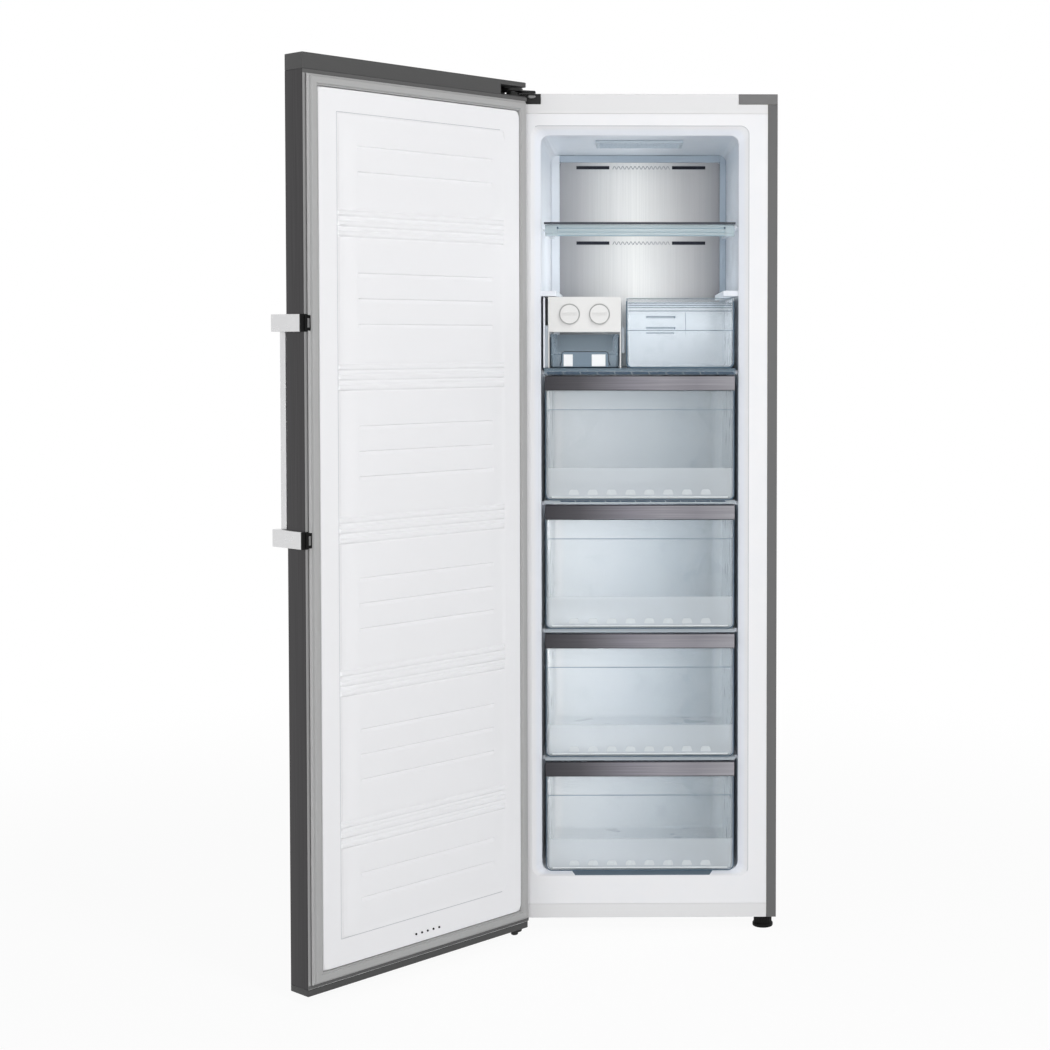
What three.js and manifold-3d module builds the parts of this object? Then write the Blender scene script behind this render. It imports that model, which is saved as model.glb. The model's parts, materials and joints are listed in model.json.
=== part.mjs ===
// An upright freezer with its door open: a steel cabinet with a moulded liner, a hinged door with a
// bar handle, four large drawers, a small drawer, a twist ice maker with its bin, and the cooling parts.
// Millimetres. X to the right, Y to the back, Z up. Lengths are measured from the cabinet's front
// plane (Y = 0), its middle (X = 0) and the floor (Z = 0); the last lines move the origin.

import * as THREE from 'three';
import { mergeVertices } from 'three/addons/utils/BufferGeometryUtils.js';
import Module from 'manifold-3d';

const wasm = await Module();
wasm.setup();

// ---------------------------------------------------------------- driving dimensions

const FIT = 0.3; // gap between pieces that touch
const CORNER_STEPS = 4; // straight runs in a moulded corner
const ROUND_STEPS = 32; // sides of a turned piece
const PIN_STEPS = 16; // sides of a pin

// Cabinet
const CAB_W = 595;
const CAB_D = 585;
const CAB_BOTTOM = 29;
const CAB_TOP = 1821;
const STEEL_T = 1.2;
const SIDE_FLANGE = 21; // front return of a side panel
const BASE_T = 2;
const RAIL_D = 21;
const TOP_RAIL_H = 42.5;
const KICK_RAIL_H = 30.5;
const CORNER_PLATE_W = 84; // hinge plate and blanking cap, flush in the front corners
const CORNER_PLATE_H = 22;
const CORNER_PLATE_T = 1.8;

// Liner: the cold space inside the insulation
const SIDE_INSULATION = 83; // from the cabinet's side to the mouth of the cold space
const SILL_H = 101; // from the cabinet's bottom to the mouth
const HEAD_H = 87.5; // from the mouth to the cabinet's top
const BACK_INSULATION = 68;
const LINER_T = 1.8;
const MOUTH_R = 18;
const BEVEL_D = 14;
const BEVEL_SIDE = 20.5;
const BEVEL_SILL = 9.5;
const BEVEL_HEAD = 18.5;
const CAVITY_DRAFT = 5.5; // how far each side wall draws in towards the back
const MACHINE_D = 165; // machine space, at the bottom of the back
const MACHINE_H = 173;
const STEP_FOAM = 48; // insulation between the machine space and the step over it

// Cold air duct on the back wall
const DUCT_SIDE = [20, 15]; // from the side walls, left and right
const DUCT_HEAD = 17.5; // from the ceiling
const DUCT_D = 67;
const DUCT_T = 1.5;
const DUCT_R = 6;
const VENT_X = [[-149, -70], [80, 160]];
const VENT_DOWN = [16, 196]; // from the duct's top to the foot of each row of vents
const VENT_H = 8;

// Shelves
const SHELF_CLEAR = 2.3; // between a shelf's end and the wall at its back corner
const SHELF_FRONT = 8;
const SHELF_TO_DUCT = 5;
const GLASS_T = 5;
const LEDGE_REACH = 9; // how far a ledge reaches under the glass
const LEDGE_H = 8;
const LEDGE_FRONT = 50;
const LEDGE_BACK = 15; // from a shelf's back edge
const LEDGE_ROOT = 0.9; // how deep a ledge is rooted in the liner wall
const TOP_SHELF_DOWN = 187; // from the ceiling
const RAIL_PLATE_H = 25;
const RAIL_PLATE_T = 4;
const RAIL_FLANGE = 26;
const RAIL_FRONT = 13;
const RAIL_SHORT = 2.5; // how much shorter than the glass, at each end
const MIDDLE_SHELF_DOWN = 503.5; // from the ceiling
const MIDDLE_LIP_H = 14;
const SPARE_LEDGE_UP = 156.5; // spare ledge, over the middle shelf
const SPARE_LEDGE_H = 12;
const SPARE_LEDGE_W = 32.5;
const SPARE_LEDGE_FRONT = 20;

// Large drawers
const DRAWER_COUNT = 4;
const LAST_DRAWER_H = 241;
const DRAWER_FRONT = 3;
const SHELF_AIR = 2; // between a trim and the shelf over it
const SHELF_LIP = 8;
const TRIM_SHORT = 1.5; // how much shorter than the glass, at each end
const TRIM_H = 32;
const TRIM_T = 2;
const TRIM_TOP_D = 20;
const TUB_SHORT = 2;
const TUB_TO_DUCT = 15;
const TUB_TO_STEP = 8; // behind the last tub
const TUB_T = 2.5;
const TUB_R = 12;
const TUB_BEAD_Z = 74; // moulded step, measured down from the trim's top
const TUB_BEAD = 1.5;
const TUB_FILLET = 10;
const TUB_DRAFT = 3;
const TUB_RIM = 9; // how far the tub's rim lies below the trim's top

// Small drawer, at the right of the middle shelf
const SMALL_TO_ICE = 11; // from the ice maker
const SMALL_SHORT = 2.5; // from the glass's end
const SMALL_UNDER_LEDGE = 4.5;
const SMALL_FRONT = 10;
const SMALL_TO_DUCT = 25;
const SMALL_R = 9;
const SMALL_BAND_H = 22; // top rail of its front
const SMALL_BAND_T = 3;
const SMALL_STEP_DOWN = 44;

// Twist ice maker and its bin, at the left of the middle shelf
const ICE_W = 158;
const ICE_SHORT = 8.5; // from the glass's end
const ICE_UNDER_LEDGE = 1.5;
const ICE_HOOD_H = 76; // closed part of the housing's front
const ICE_FRONT = 15;
const ICE_D = 247;
const ICE_T = 2.5;
const KNOB_PITCH = 65;
const KNOB_DOWN = 37.5; // from the housing's top
const KNOB_R = 23;
const KNOB_T = 6;
const KNOB_RING = 2; // rim round its dished face
const KNOB_GRIP = 7;
const KNOB_GRIP_IN = 1;
const KNOB_SHAFT_R = 7;
const TRAY_HALF_W = 28;
const TRAY_H = 28;
const TRAY_T = 2;
const TRAY_CELLS = 6; // cells along one row
const TRAY_RIM = 6; // rim above the dividers
const TRAY_PIN_R = 4;
const TRAY_END = 7; // between a tray's end and the housing wall
const BIN_UNDER_HOOD = 5;
const BIN_LIP_H = 35;
const BIN_T = 2.5;
const BIN_R = 6;
const BIN_CLEAR = 1;
const BIN_DRAFT = 1;
const BIN_SCOOP_IN = 15;
const BIN_SCOOP_R = 7.5;

// Evaporator, fan and lamp
const EVAP_SIDE = 44; // from the side walls
const EVAP_DOWN = 376; // from the duct's top
const EVAP_H = 250;
const EVAP_D = 44;
const EVAP_FINS = 16;
const EVAP_SPINE = 10;
const EVAP_FIN_T = 3;
const FAN_DOWN = 256; // from the duct's top
const FAN_R = 52;
const FAN_HUB_R = 17;
const FAN_BLADES = 5;
const FAN_BLADE_T = 2.5;
const FAN_D = 14;
const FAN_PITCH = 35; // blade angle, degrees
const MOTOR_R = 26;
const MOTOR_D = 26;
const MOTOR_SHAFT_R = 3;
const LAMP_HALF_W = 97;
const LAMP_Y = [108, 230];
const LAMP_T = 6;

// Machine space
const COMPRESSOR_X = 95;
const COMPRESSOR_R = 68; // at its weld seam
const COMPRESSOR_WALL_R = 65;
const COMPRESSOR_SHOULDER_R = 63;
const COMPRESSOR_CROWN_R = 41;
const COMPRESSOR_STAND_R = 34;
const COMPRESSOR_H = 137;
const COMPRESSOR_SHOULDER_H = 25;
const COMPRESSOR_CROWN_H = 6;
const COMPRESSOR_SEAM_H = 4;
const COMPRESSOR_FOOT_T = 4;
const COMPRESSOR_FOOT_D = 128;
const COMPRESSOR_FOOT_W = 170;
const COMPRESSOR_LIFT = 8; // of the shell over the base
const COVER_SLOTS = 7;
const COVER_SLOT_W = 190;
const COVER_SLOT_H = 7;
const COVER_SLOT_PITCH = 16;
const COVER_FIRST_SLOT = 40; // above the base
const INLET_IN = 92.5; // from the cabinet's left side
const INLET_UP = 91;
const INLET_R = 11;
const INLET_BORE = 4.5;
const INLET_L = 12;
const INLET_FLOOR = 2;

// Feet and rollers
const FOOT_IN = 26.5; // from the cabinet's side
const FOOT_Y = 35;
const FOOT_R = 22.5;
const FOOT_NECK_R = 20.5;
const FOOT_SOLE_H = 7;
const FOOT_CHAMFER = 1.8;
const FOOT_GAP = 0.5; // under the hinge bracket
const STEM_R = 5;
const ROLLER_IN = 67.5;
const ROLLER_BACK_IN = 45; // from the cabinet's back
const ROLLER_R = 12;
const ROLLER_W = 20;
const AXLE_R = 3;
const AXLE_PAST = 1; // how far an axle stands out of its lugs
const LUG_T = 3;
const LUG_W = 18;
const LUG_UNDER = 6; // from the axle to the lug's foot
const AXLE_CLEAR = 0.3;

// Door, written as it stands closed; the door group then swings it open
const DOOR_OPEN = 132.9; // degrees from closed
const DOOR_STOP = 140; // how far it can swing
const DOOR_CLEAR = 0.25; // least gap between its edge and the cabinet on the way
const HINGE_IN = 24.9; // hinge axis, in from the cabinet's left side
const HINGE_FORE = 31; // hinge axis, in front of the cabinet
const DOOR_GAP = 12; // between the cabinet and the door's inner plane
const DOOR_T = 56.4;
const DOOR_UNDER = 12.4; // how far the door reaches below the cabinet
const DOOR_OVER = 20; // how far it reaches above
const BOTTOM_CAP_H = 13.4;
const TOP_CAP_H = 32;
const SKIN_T = 1;
const SKIN_RETURN = 14;
const HINGE_INNER_R = 6;
const FREE_EDGE_R = 3;
const FREE_INNER_R = 1.5;
const SHARP_R = 1;
const NOTCH_W = 76;
const NOTCH_WALL = 5.4; // front wall left beside the hinge notch
const NOTCH_FLOOR = 2;
const NOTCH_ROOF = 10;
const DOOR_LINER_EDGE = 30; // from the panel's edge to the liner's wall
const DOOR_LINER_RISE = 8.5;
const DOOR_LINER_DRAFT = 2;
const DOOR_LINER_R = 15;
const DOOR_FLANGE_T = 1.5;
const FIELD_IN = 75; // raised field of the door liner, from the sides
const FIELD_LOW = 85; // from the panel's bottom
const FIELD_HIGH = 76; // from its top
const FIELD_RISE = 1;
const FIELD_R = 10;
const BAND_DOWN = 215; // first band of ridges, from the field's top
const BAND_UP = 203; // last band, from the field's bottom
const BAND_COUNT = 5;
const RIDGE_PITCH = 17;
const RIDGE_W = 9;
const RIDGE_TOP_W = 3;
const RIDGE_RISE = 1.5;
const RIDGE_IN = 9; // from the field's sides
const GROOVE_IN = [32.5, 49]; // from the field's sides, at the hinge and at the free edge
const GROOVE_PITCH = 50;
const GROOVE_END = 67; // from the field's ends to the nearest groove
const GROOVE_H = 9;
const GROOVE_R = 4;
const GROOVE_D = 1.2;
const GASKET_IN = 8;
const GASKET_GAP = 0.4; // to the closed cabinet, and to the door liner's wall
const GASKET_SIDE_H = 5.6;
const GASKET_FOLDS = [[12.5, 7.4], [15, 6]];
const GASKET_CROWN = [21.5, 28.5]; // where the gasket is highest, in from the panel's edge

// Hinges
const PIN_R = 5;
const BUSH_R = 9;
const BUSH_FLANGE_R = 12;
const BUSH_FLANGE_T = 1.4;
const BUSH_DEEP = 1.5; // how far a bush reaches past its pin
const RUN = 0.35; // running gap round a hinge pin
const TONGUE_UP = 3; // over the door panel
const TONGUE_T = 8;
const TONGUE_HALF_W = 13;
const PIN_HEAD_R = 8;
const PIN_HEAD_H = 4;
const PIN_CHAMFER = 1.8;
const TOP_PIN_DEEP = 18; // how far the top pin reaches into the door panel
const LOW_PLATE_T = 4;
const LOW_TOP_T = 3.7;
const LOW_WEB_Y = [2, 5];
const LOW_BACK = 62;
const LOW_HALF_W = 16;
const LOW_TOP_W = 54;
const LOW_PIN_FOOT_H = 8.3;
const LOW_PIN_FOOT_R = 8;
const LOW_PIN_DEEP = 10.4;

// Handle
const GRIP_Z = [905, 1324]; // middle of each bracket
const BRACKET_H = 34;
const BRACKET_T = 8;
const HANDLE_REACH = 37; // beyond the door's face
const GRIP_W = 22; // across the door
const GRIP_D = 18;
const GRIP_IN = 12; // from the door's free edge to the grip
const GRIP_R = 3;
const LIP_T = 3;
const LIP_W = 7;

// ---------------------------------------------------------------- finishes

function finish(color, roughness, metalness) {
  return new THREE.MeshStandardMaterial({ color, roughness, metalness });
}

const GREY_PAINT = finish('#858585', 0.5, 0.3);
const ZINC = finish('#a9abab', 0.45, 0.8);
const FOAM = finish('#d9cfae', 0.95, 0);
const WHITE_LINER = finish('#e9edf0', 0.35, 0);
const WHITE_TRIM = finish('#ececee', 0.4, 0);
const GREY_PLASTIC = finish('#808080', 0.5, 0);
const BLACK_STEEL = finish('#262626', 0.45, 0.6);
const PIN_STEEL = finish('#8c8c8c', 0.35, 0.9);
const BRUSHED = finish('#c9c7c5', 0.3, 0.9);
const ALUMINIUM = finish('#b9bcbe', 0.4, 0.8);
const BLACK_PLASTIC = finish('#1f1f20', 0.55, 0);
const BLACK_PAINT = finish('#202122', 0.4, 0.2);
const LENS = finish('#e4ecf2', 0.3, 0);
const GLASS = finish('#3f5866', 0.1, 0);
const CLEAR = finish('#c5ced6', 0.15, 0);
const DARK_TRIM = finish('#6b676b', 0.35, 0.8);
const WHITE_PLASTIC = finish('#f1f1ef', 0.4, 0);
const DOOR_STEEL = finish('#4e4e4e', 0.35, 0.8);
const DOOR_CAP = finish('#565656', 0.5, 0);
const RUBBER = finish('#9d9d9d', 0.7, 0);
const CHROME = finish('#d9dadb', 0.12, 1);

// ---------------------------------------------------------------- shapes

// A closed mesh as a solid for joining and cutting, and back again.
function toSolid(geometry) {
  const bare = geometry.clone();
  bare.deleteAttribute('normal');
  bare.deleteAttribute('uv');
  const merged = mergeVertices(bare);
  const vertProperties = new Float32Array(merged.attributes.position.array);
  const triVerts = new Uint32Array(merged.index.array);
  return new wasm.Manifold(new wasm.Mesh({ numProp: 3, vertProperties, triVerts }));
}

function fromSolid(solid) {
  const { vertProperties, triVerts } = solid.getMesh();
  const geometry = new THREE.BufferGeometry();
  geometry.setAttribute('position', new THREE.BufferAttribute(vertProperties, 3));
  geometry.setIndex(new THREE.BufferAttribute(triVerts, 1));
  return geometry;
}

function cut(base, ...tools) {
  return fromSolid(tools.reduce((solid, tool) => solid.subtract(toSolid(tool)), toSolid(base)));
}

function join(base, ...others) {
  return fromSolid(others.reduce((solid, other) => solid.add(toSolid(other)), toSolid(base)));
}

function block([x0, x1], [y0, y1], [z0, z1]) {
  const geometry = new THREE.BoxGeometry(x1 - x0, y1 - y0, z1 - z0);
  return geometry.translate((x0 + x1) / 2, (y0 + y1) / 2, (z0 + z1) / 2);
}

// A rounded rectangle's points, anticlockwise; with no steps its corners are sharp.
function outline({ a, b, r }, steps) {
  const corners = [[a[1], b[1]], [a[0], b[1]], [a[0], b[0]], [a[1], b[0]]];
  return corners.flatMap(([ca, cb], quarter) => {
    if (steps === 0) return [[ca, cb]];
    const ma = ca - Math.sign(ca - a[0] - 1e-6) * r;
    const mb = cb - Math.sign(cb - b[0] - 1e-6) * r;
    return Array.from({ length: steps + 1 }, (_, step) => {
      const turn = (quarter + step / steps) * (Math.PI / 2);
      return [ma + r * Math.cos(turn), mb + r * Math.sin(turn)];
    });
  });
}

// One closed skin over a run of rounded rectangles. Each ring is {a, b, r, at}; place turns (a, b, at)
// into (x, y, z). A hoop joins its last ring to its first; otherwise the end rings are filled.
function moulding(rings, place, { steps = CORNER_STEPS, hoop = false } = {}) {
  const points = rings.flatMap((ring) => outline(ring, steps).map(([a, b]) => place(a, b, ring.at)));
  const size = points.length / rings.length;
  const faces = [];
  const bands = hoop ? rings.length : rings.length - 1;
  for (let band = 0; band < bands; band += 1) {
    const low = band * size;
    const high = ((band + 1) % rings.length) * size;
    for (let i = 0; i < size; i += 1) {
      const j = (i + 1) % size;
      faces.push(low + i, low + j, high + j, low + i, high + j, high + i);
    }
  }
  for (let i = 1; !hoop && i < size - 1; i += 1) {
    const last = points.length - size;
    faces.push(0, i + 1, i, last, last + i, last + i + 1);
  }
  const geometry = new THREE.BufferGeometry();
  geometry.setAttribute('position', new THREE.Float32BufferAttribute(points.flat(), 3));
  geometry.setIndex(faces);
  return volume(geometry) < 0 ? flipped(geometry) : geometry;
}

function volume(geometry) {
  const position = geometry.attributes.position;
  const corner = (i) => new THREE.Vector3().fromBufferAttribute(position, geometry.index.array[i]);
  let sum = 0;
  for (let i = 0; i < geometry.index.count; i += 3) {
    sum += corner(i).dot(corner(i + 1).cross(corner(i + 2))) / 6;
  }
  return sum;
}

function flipped(geometry) {
  geometry.setIndex(Array.from(geometry.index.array).reverse());
  return geometry;
}

const facingFront = (a, b, at) => [a, at, b];
const facingUp = (a, b, at) => [a, b, at];

// A flat outline pulled from z0 to z1.
function pulled(shape, [z0, z1], curveSegments = 6) {
  const options = { depth: z1 - z0, bevelEnabled: false, curveSegments };
  return new THREE.ExtrudeGeometry(shape, options).translate(0, 0, z0);
}

function polygon(points) {
  return new THREE.Shape(points.map(([x, y]) => new THREE.Vector2(x, y)));
}

// An outline in (y, z) pulled along X.
function pulledAcross(points, [x0, x1]) {
  return pulled(polygon(points), [x0, x1]).applyMatrix4(new THREE.Matrix4().set(
    0, 0, 1, 0,
    1, 0, 0, 0,
    0, 1, 0, 0,
    0, 0, 0, 1,
  ));
}

// A turned piece from its (radius, height) profile, standing at (x, y).
function turned(profile, [x, y], steps = ROUND_STEPS) {
  const points = profile.map(([r, z]) => new THREE.Vector2(r, z));
  return new THREE.LatheGeometry(points, steps).rotateX(Math.PI / 2).translate(x, y, 0);
}

// A plain round bar along 'x', 'y' or 'z' between two places, round (p, q) of the other two axes.
function bar(axis, radius, [from, to], [p, q], steps = PIN_STEPS) {
  const geometry = new THREE.CylinderGeometry(radius, radius, to - from, steps);
  const middle = (from + to) / 2;
  if (axis === 'x') return geometry.rotateZ(-Math.PI / 2).translate(middle, p, q);
  if (axis === 'y') return geometry.translate(p, middle, q);
  return geometry.rotateX(Math.PI / 2).translate(p, q, middle);
}

const freezer = new THREE.Group();

function piece(name, geometry, material, parent = freezer) {
  const mesh = new THREE.Mesh(geometry, material);
  mesh.name = name;
  parent.add(mesh);
  return mesh;
}

// ---------------------------------------------------------------- places shared by several pieces

const OVERCUT = 1; // how far a cutting tool runs past what it cuts
const SIDE = CAB_W / 2;
const INSIDE = SIDE - STEEL_T - FIT; // half width between the side panels
const BACK = CAB_D - STEEL_T - FIT; // in front of the rear panel
const PLATE_LOW = CAB_TOP - CORNER_PLATE_H;
const PLATE_IN = SIDE - CORNER_PLATE_W;
const KICK_TOP = CAB_BOTTOM + KICK_RAIL_H;
const RAIL_LOW = CAB_TOP - TOP_RAIL_H;
const FRONT_IN = SIDE - SIDE_FLANGE - FIT; // half width between the side flanges
const BASE_TOP = CAB_BOTTOM + BASE_T;

const MOUTH_HALF_W = SIDE - SIDE_INSULATION;
const MOUTH_BOTTOM = CAB_BOTTOM + SILL_H;
const MOUTH_TOP = CAB_TOP - HEAD_H;
const CAVITY_D = CAB_D - BACK_INSULATION;
const MACHINE_FRONT = CAB_D - MACHINE_D;
const MACHINE_TOP = CAB_BOTTOM + MACHINE_H;
const STEP_Y = MACHINE_FRONT - STEP_FOAM;
const STEP_Z = MACHINE_TOP + STEP_FOAM;

const DUCT_BACK = CAVITY_D - FIT;
const DUCT_FRONT = CAVITY_D - DUCT_D;
const DUCT_TOP = MOUTH_TOP - DUCT_HEAD;
const SHELF_BACK = DUCT_FRONT - SHELF_TO_DUCT;
const SHELF_HALF_W = wallX(SHELF_BACK) - SHELF_CLEAR;
const TOP_SHELF_Z = MOUTH_TOP - TOP_SHELF_DOWN;
const MIDDLE_SHELF_Z = MOUTH_TOP - MIDDLE_SHELF_DOWN;
const SPARE_LEDGE_Z = MIDDLE_SHELF_Z + SPARE_LEDGE_UP;

const DRAWER_TOP = MIDDLE_SHELF_Z - MIDDLE_LIP_H - SHELF_AIR; // top of the first trim
const DRAWER_PITCH = (DRAWER_TOP - MOUTH_BOTTOM - LAST_DRAWER_H) / (DRAWER_COUNT - 1);

const SMALL_TOP = SPARE_LEDGE_Z - SMALL_UNDER_LEDGE;
const ICE_X = [ICE_SHORT - SHELF_HALF_W, ICE_SHORT - SHELF_HALF_W + ICE_W];
const SMALL_X = [ICE_X[1] + SMALL_TO_ICE, SHELF_HALF_W - SMALL_SHORT];
const ICE_TOP = SPARE_LEDGE_Z - ICE_UNDER_LEDGE;
const ICE_SKIRT = ICE_TOP - ICE_HOOD_H;
const ICE_BACK = ICE_FRONT + ICE_D;
const KNOB_Z = ICE_TOP - KNOB_DOWN;
const KNOB_X = [-1, 1].map((end) => (ICE_X[0] + ICE_X[1] + end * KNOB_PITCH) / 2);

const EVAP_HALF_W = wallX(CAVITY_D) - EVAP_SIDE;
const EVAP_TOP = DUCT_TOP - EVAP_DOWN;
const FAN_Z = DUCT_TOP - FAN_DOWN;

const FOOT_X = SIDE - FOOT_IN;
const ROLLER_X = SIDE - ROLLER_IN;
const ROLLER_Y = CAB_D - ROLLER_BACK_IN;

const HINGE_X = -SIDE + HINGE_IN;
const HINGE_Y = -HINGE_FORE;
const INNER_Y = -DOOR_GAP;
const OUTER_Y = INNER_Y - DOOR_T;
const DOOR_BOTTOM = CAB_BOTTOM - DOOR_UNDER;
const DOOR_TOP = CAB_TOP + DOOR_OVER;
const PANEL_BOTTOM = DOOR_BOTTOM + BOTTOM_CAP_H;
const PANEL_TOP = DOOR_TOP - TOP_CAP_H;
const TONGUE_Z = [PANEL_TOP + TONGUE_UP, PANEL_TOP + TONGUE_UP + TONGUE_T];
const TOP_PIN_LOW = PANEL_TOP - TOP_PIN_DEEP;
const LOW_PLATE_TOP = DOOR_BOTTOM - BUSH_FLANGE_T - 2 * FIT;
const LOW_PLATE_Z = [LOW_PLATE_TOP - LOW_PLATE_T, LOW_PLATE_TOP];
const LOW_TOP_Z = [CAB_BOTTOM - FIT - LOW_TOP_T, CAB_BOTTOM - FIT];
const LOW_PIN_TOP = DOOR_BOTTOM + LOW_PIN_DEEP;
const FOOT_H = LOW_TOP_Z[0] - FOOT_GAP;

// Half width of the cold space at a depth.
function wallX(y) {
  return MOUTH_HALF_W - (CAVITY_DRAFT * (y - BEVEL_D)) / (CAVITY_D - BEVEL_D);
}

// The cold space with its bevelled mouth and the step over the machine space, grown on every side.
function coldSpace(grow, front) {
  const mouth = MOUTH_HALF_W + grow;
  const bevel = mouth + BEVEL_SIDE;
  const back = mouth - CAVITY_DRAFT;
  const high = [MOUTH_BOTTOM - grow, MOUTH_TOP + grow];
  const flare = [high[0] - BEVEL_SILL, high[1] + BEVEL_HEAD];
  const r = MOUTH_R + grow;
  const body = moulding([
    { a: [-bevel, bevel], b: flare, r, at: front },
    { a: [-bevel, bevel], b: flare, r, at: grow },
    { a: [-mouth, mouth], b: high, r, at: BEVEL_D + grow / 2 },
    { a: [-back, back], b: high, r, at: CAVITY_D + grow },
  ], facingFront);
  const stepBack = CAVITY_D + grow + OVERCUT;
  const stepLow = MOUTH_BOTTOM - grow - OVERCUT;
  return cut(body, block([-bevel, bevel], [STEP_Y + grow, stepBack], [stepLow, STEP_Z - grow]));
}

// ---------------------------------------------------------------- cabinet

function sidePanel(side) {
  const outer = side * SIDE;
  const inner = side * (SIDE - STEEL_T);
  const flange = side * (SIDE - SIDE_FLANGE);
  const profile = [
    [outer, 0],
    [flange, 0],
    [flange, STEEL_T],
    [inner, STEEL_T],
    [inner, CAB_D],
    [outer, CAB_D],
  ];
  const sheet = pulled(polygon(profile), [CAB_BOTTOM, CAB_TOP]);
  const corner = [side * (SIDE + OVERCUT), side * (SIDE - SIDE_FLANGE - OVERCUT)].sort((p, q) => p - q);
  return cut(sheet, block(corner, [-OVERCUT, CORNER_PLATE_T + FIT], [PLATE_LOW - FIT, CAB_TOP + OVERCUT]));
}

function topRail() {
  const rail = block([-FRONT_IN, FRONT_IN], [0, RAIL_D], [RAIL_LOW, CAB_TOP]);
  const seats = [-1, 1].map((side) => {
    const across = [side * (PLATE_IN - FIT), side * SIDE].sort((p, q) => p - q);
    return block(across, [-OVERCUT, CORNER_PLATE_T + FIT], [PLATE_LOW - FIT, CAB_TOP + OVERCUT]);
  });
  return cut(rail, ...seats);
}

function basePan() {
  const plate = block([-INSIDE, INSIDE], [RAIL_D + FIT, BACK], [CAB_BOTTOM, BASE_TOP]);
  const lugPlaces = [-1, 1].flatMap((side) => [-1, 1].map((end) => {
    return side * ROLLER_X + end * (ROLLER_W / 2 + FIT + LUG_T / 2);
  }));
  const lugs = lugPlaces.map((x) => block(
    [x - LUG_T / 2, x + LUG_T / 2],
    [ROLLER_Y - LUG_W / 2, ROLLER_Y + LUG_W / 2],
    [ROLLER_R - LUG_UNDER, CAB_BOTTOM + BASE_T / 2],
  ));
  const axleHole = bar('x', AXLE_R + AXLE_CLEAR, [-SIDE, SIDE], [ROLLER_Y, ROLLER_R]);
  const stemHoles = [-1, 1].map((side) => {
    return bar('z', STEM_R + AXLE_CLEAR, [0, BASE_TOP + OVERCUT], [side * FOOT_X, FOOT_Y]);
  });
  return cut(join(plate, ...lugs), axleHole, ...stemHoles);
}

function insulation() {
  const body = block(
    [-INSIDE, INSIDE],
    [LINER_T + FIT, BACK - FIT],
    [BASE_TOP + FIT, CAB_TOP - STEEL_T - FIT],
  );
  const wide = [-SIDE, SIDE];
  const railSpace = [-OVERCUT, RAIL_D + FIT];
  return cut(
    body,
    coldSpace(LINER_T + FIT, -OVERCUT),
    block(wide, railSpace, [RAIL_LOW - FIT, CAB_TOP]),
    block(wide, railSpace, [0, KICK_TOP + FIT]),
    block(wide, [MACHINE_FRONT, CAB_D], [0, MACHINE_TOP]),
  );
}

// A ledge on both liner walls, rooted in them.
function ledges(inner, [y0, y1], [z0, z1]) {
  const reach = (y) => wallX(y) + LEDGE_ROOT;
  return [-1, 1].map((side) => pulled(polygon([
    [side * inner, y0], [side * reach(y0), y0], [side * reach(y1), y1], [side * inner, y1],
  ]), [z0, z1]));
}

function drawerTop(index) {
  return DRAWER_TOP - DRAWER_PITCH * index;
}

// The surface that a drawer slides on: the shelf below it, or the liner's floor under the last one.
function drawerFloor(index) {
  if (index === DRAWER_COUNT - 1) return MOUTH_BOTTOM;
  return drawerTop(index + 1) + SHELF_AIR + SHELF_LIP;
}

const DRAWER_SHELVES = Array.from({ length: DRAWER_COUNT - 1 }, (_, index) => drawerFloor(index));

function liner() {
  const flange = block([-FRONT_IN, FRONT_IN], [0, LINER_T], [KICK_TOP + FIT, RAIL_LOW - FIT]);
  const shell = cut(join(flange, coldSpace(LINER_T, 0)), coldSpace(0, -OVERCUT));
  const depth = [LEDGE_FRONT, SHELF_BACK - LEDGE_BACK];
  const underGlass = [TOP_SHELF_Z, MIDDLE_SHELF_Z, ...DRAWER_SHELVES].map((top) => top - GLASS_T - FIT);
  const inner = SHELF_HALF_W - LEDGE_REACH;
  const supports = underGlass.flatMap((top) => ledges(inner, depth, [top - LEDGE_H, top]));
  const spare = ledges(
    MOUTH_HALF_W - SPARE_LEDGE_W,
    [SPARE_LEDGE_FRONT, depth[1]],
    [SPARE_LEDGE_Z, SPARE_LEDGE_Z + SPARE_LEDGE_H],
  );
  return join(shell, ...supports, ...spare);
}

function cabinet() {
  piece('left_side_panel', sidePanel(-1), GREY_PAINT);
  piece('right_side_panel', sidePanel(1), GREY_PAINT);
  const roof = [CAB_TOP - STEEL_T, CAB_TOP];
  piece('top_panel', block([-INSIDE, INSIDE], [RAIL_D + FIT, BACK], roof), GREY_PAINT);
  const rear = [CAB_D - STEEL_T, CAB_D];
  piece('rear_panel', block([-INSIDE, INSIDE], rear, [MACHINE_TOP + FIT, CAB_TOP]), ZINC);
  piece('base_pan', basePan(), ZINC);
  piece('insulation', insulation(), FOAM);
  piece('liner', liner(), WHITE_LINER);
  piece('top_rail', topRail(), WHITE_TRIM);
  piece('kick_rail', block([-FRONT_IN, FRONT_IN], [0, RAIL_D], [CAB_BOTTOM, KICK_TOP]), WHITE_TRIM);
  const cap = block([PLATE_IN, SIDE], [0, CORNER_PLATE_T], [PLATE_LOW, CAB_TOP]);
  piece('blanking_cap', cap, GREY_PLASTIC);
}

// ---------------------------------------------------------------- shelves and lamp

// A glass shelf with a lip that hangs from its front edge.
function lippedShelf(top, lip) {
  const profile = [
    [SHELF_FRONT, top - lip],
    [SHELF_FRONT + GLASS_T, top - lip],
    [SHELF_FRONT + GLASS_T, top - GLASS_T],
    [SHELF_BACK, top - GLASS_T],
    [SHELF_BACK, top],
    [SHELF_FRONT, top],
  ];
  return pulledAcross(profile, [-SHELF_HALF_W, SHELF_HALF_W]);
}

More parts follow.
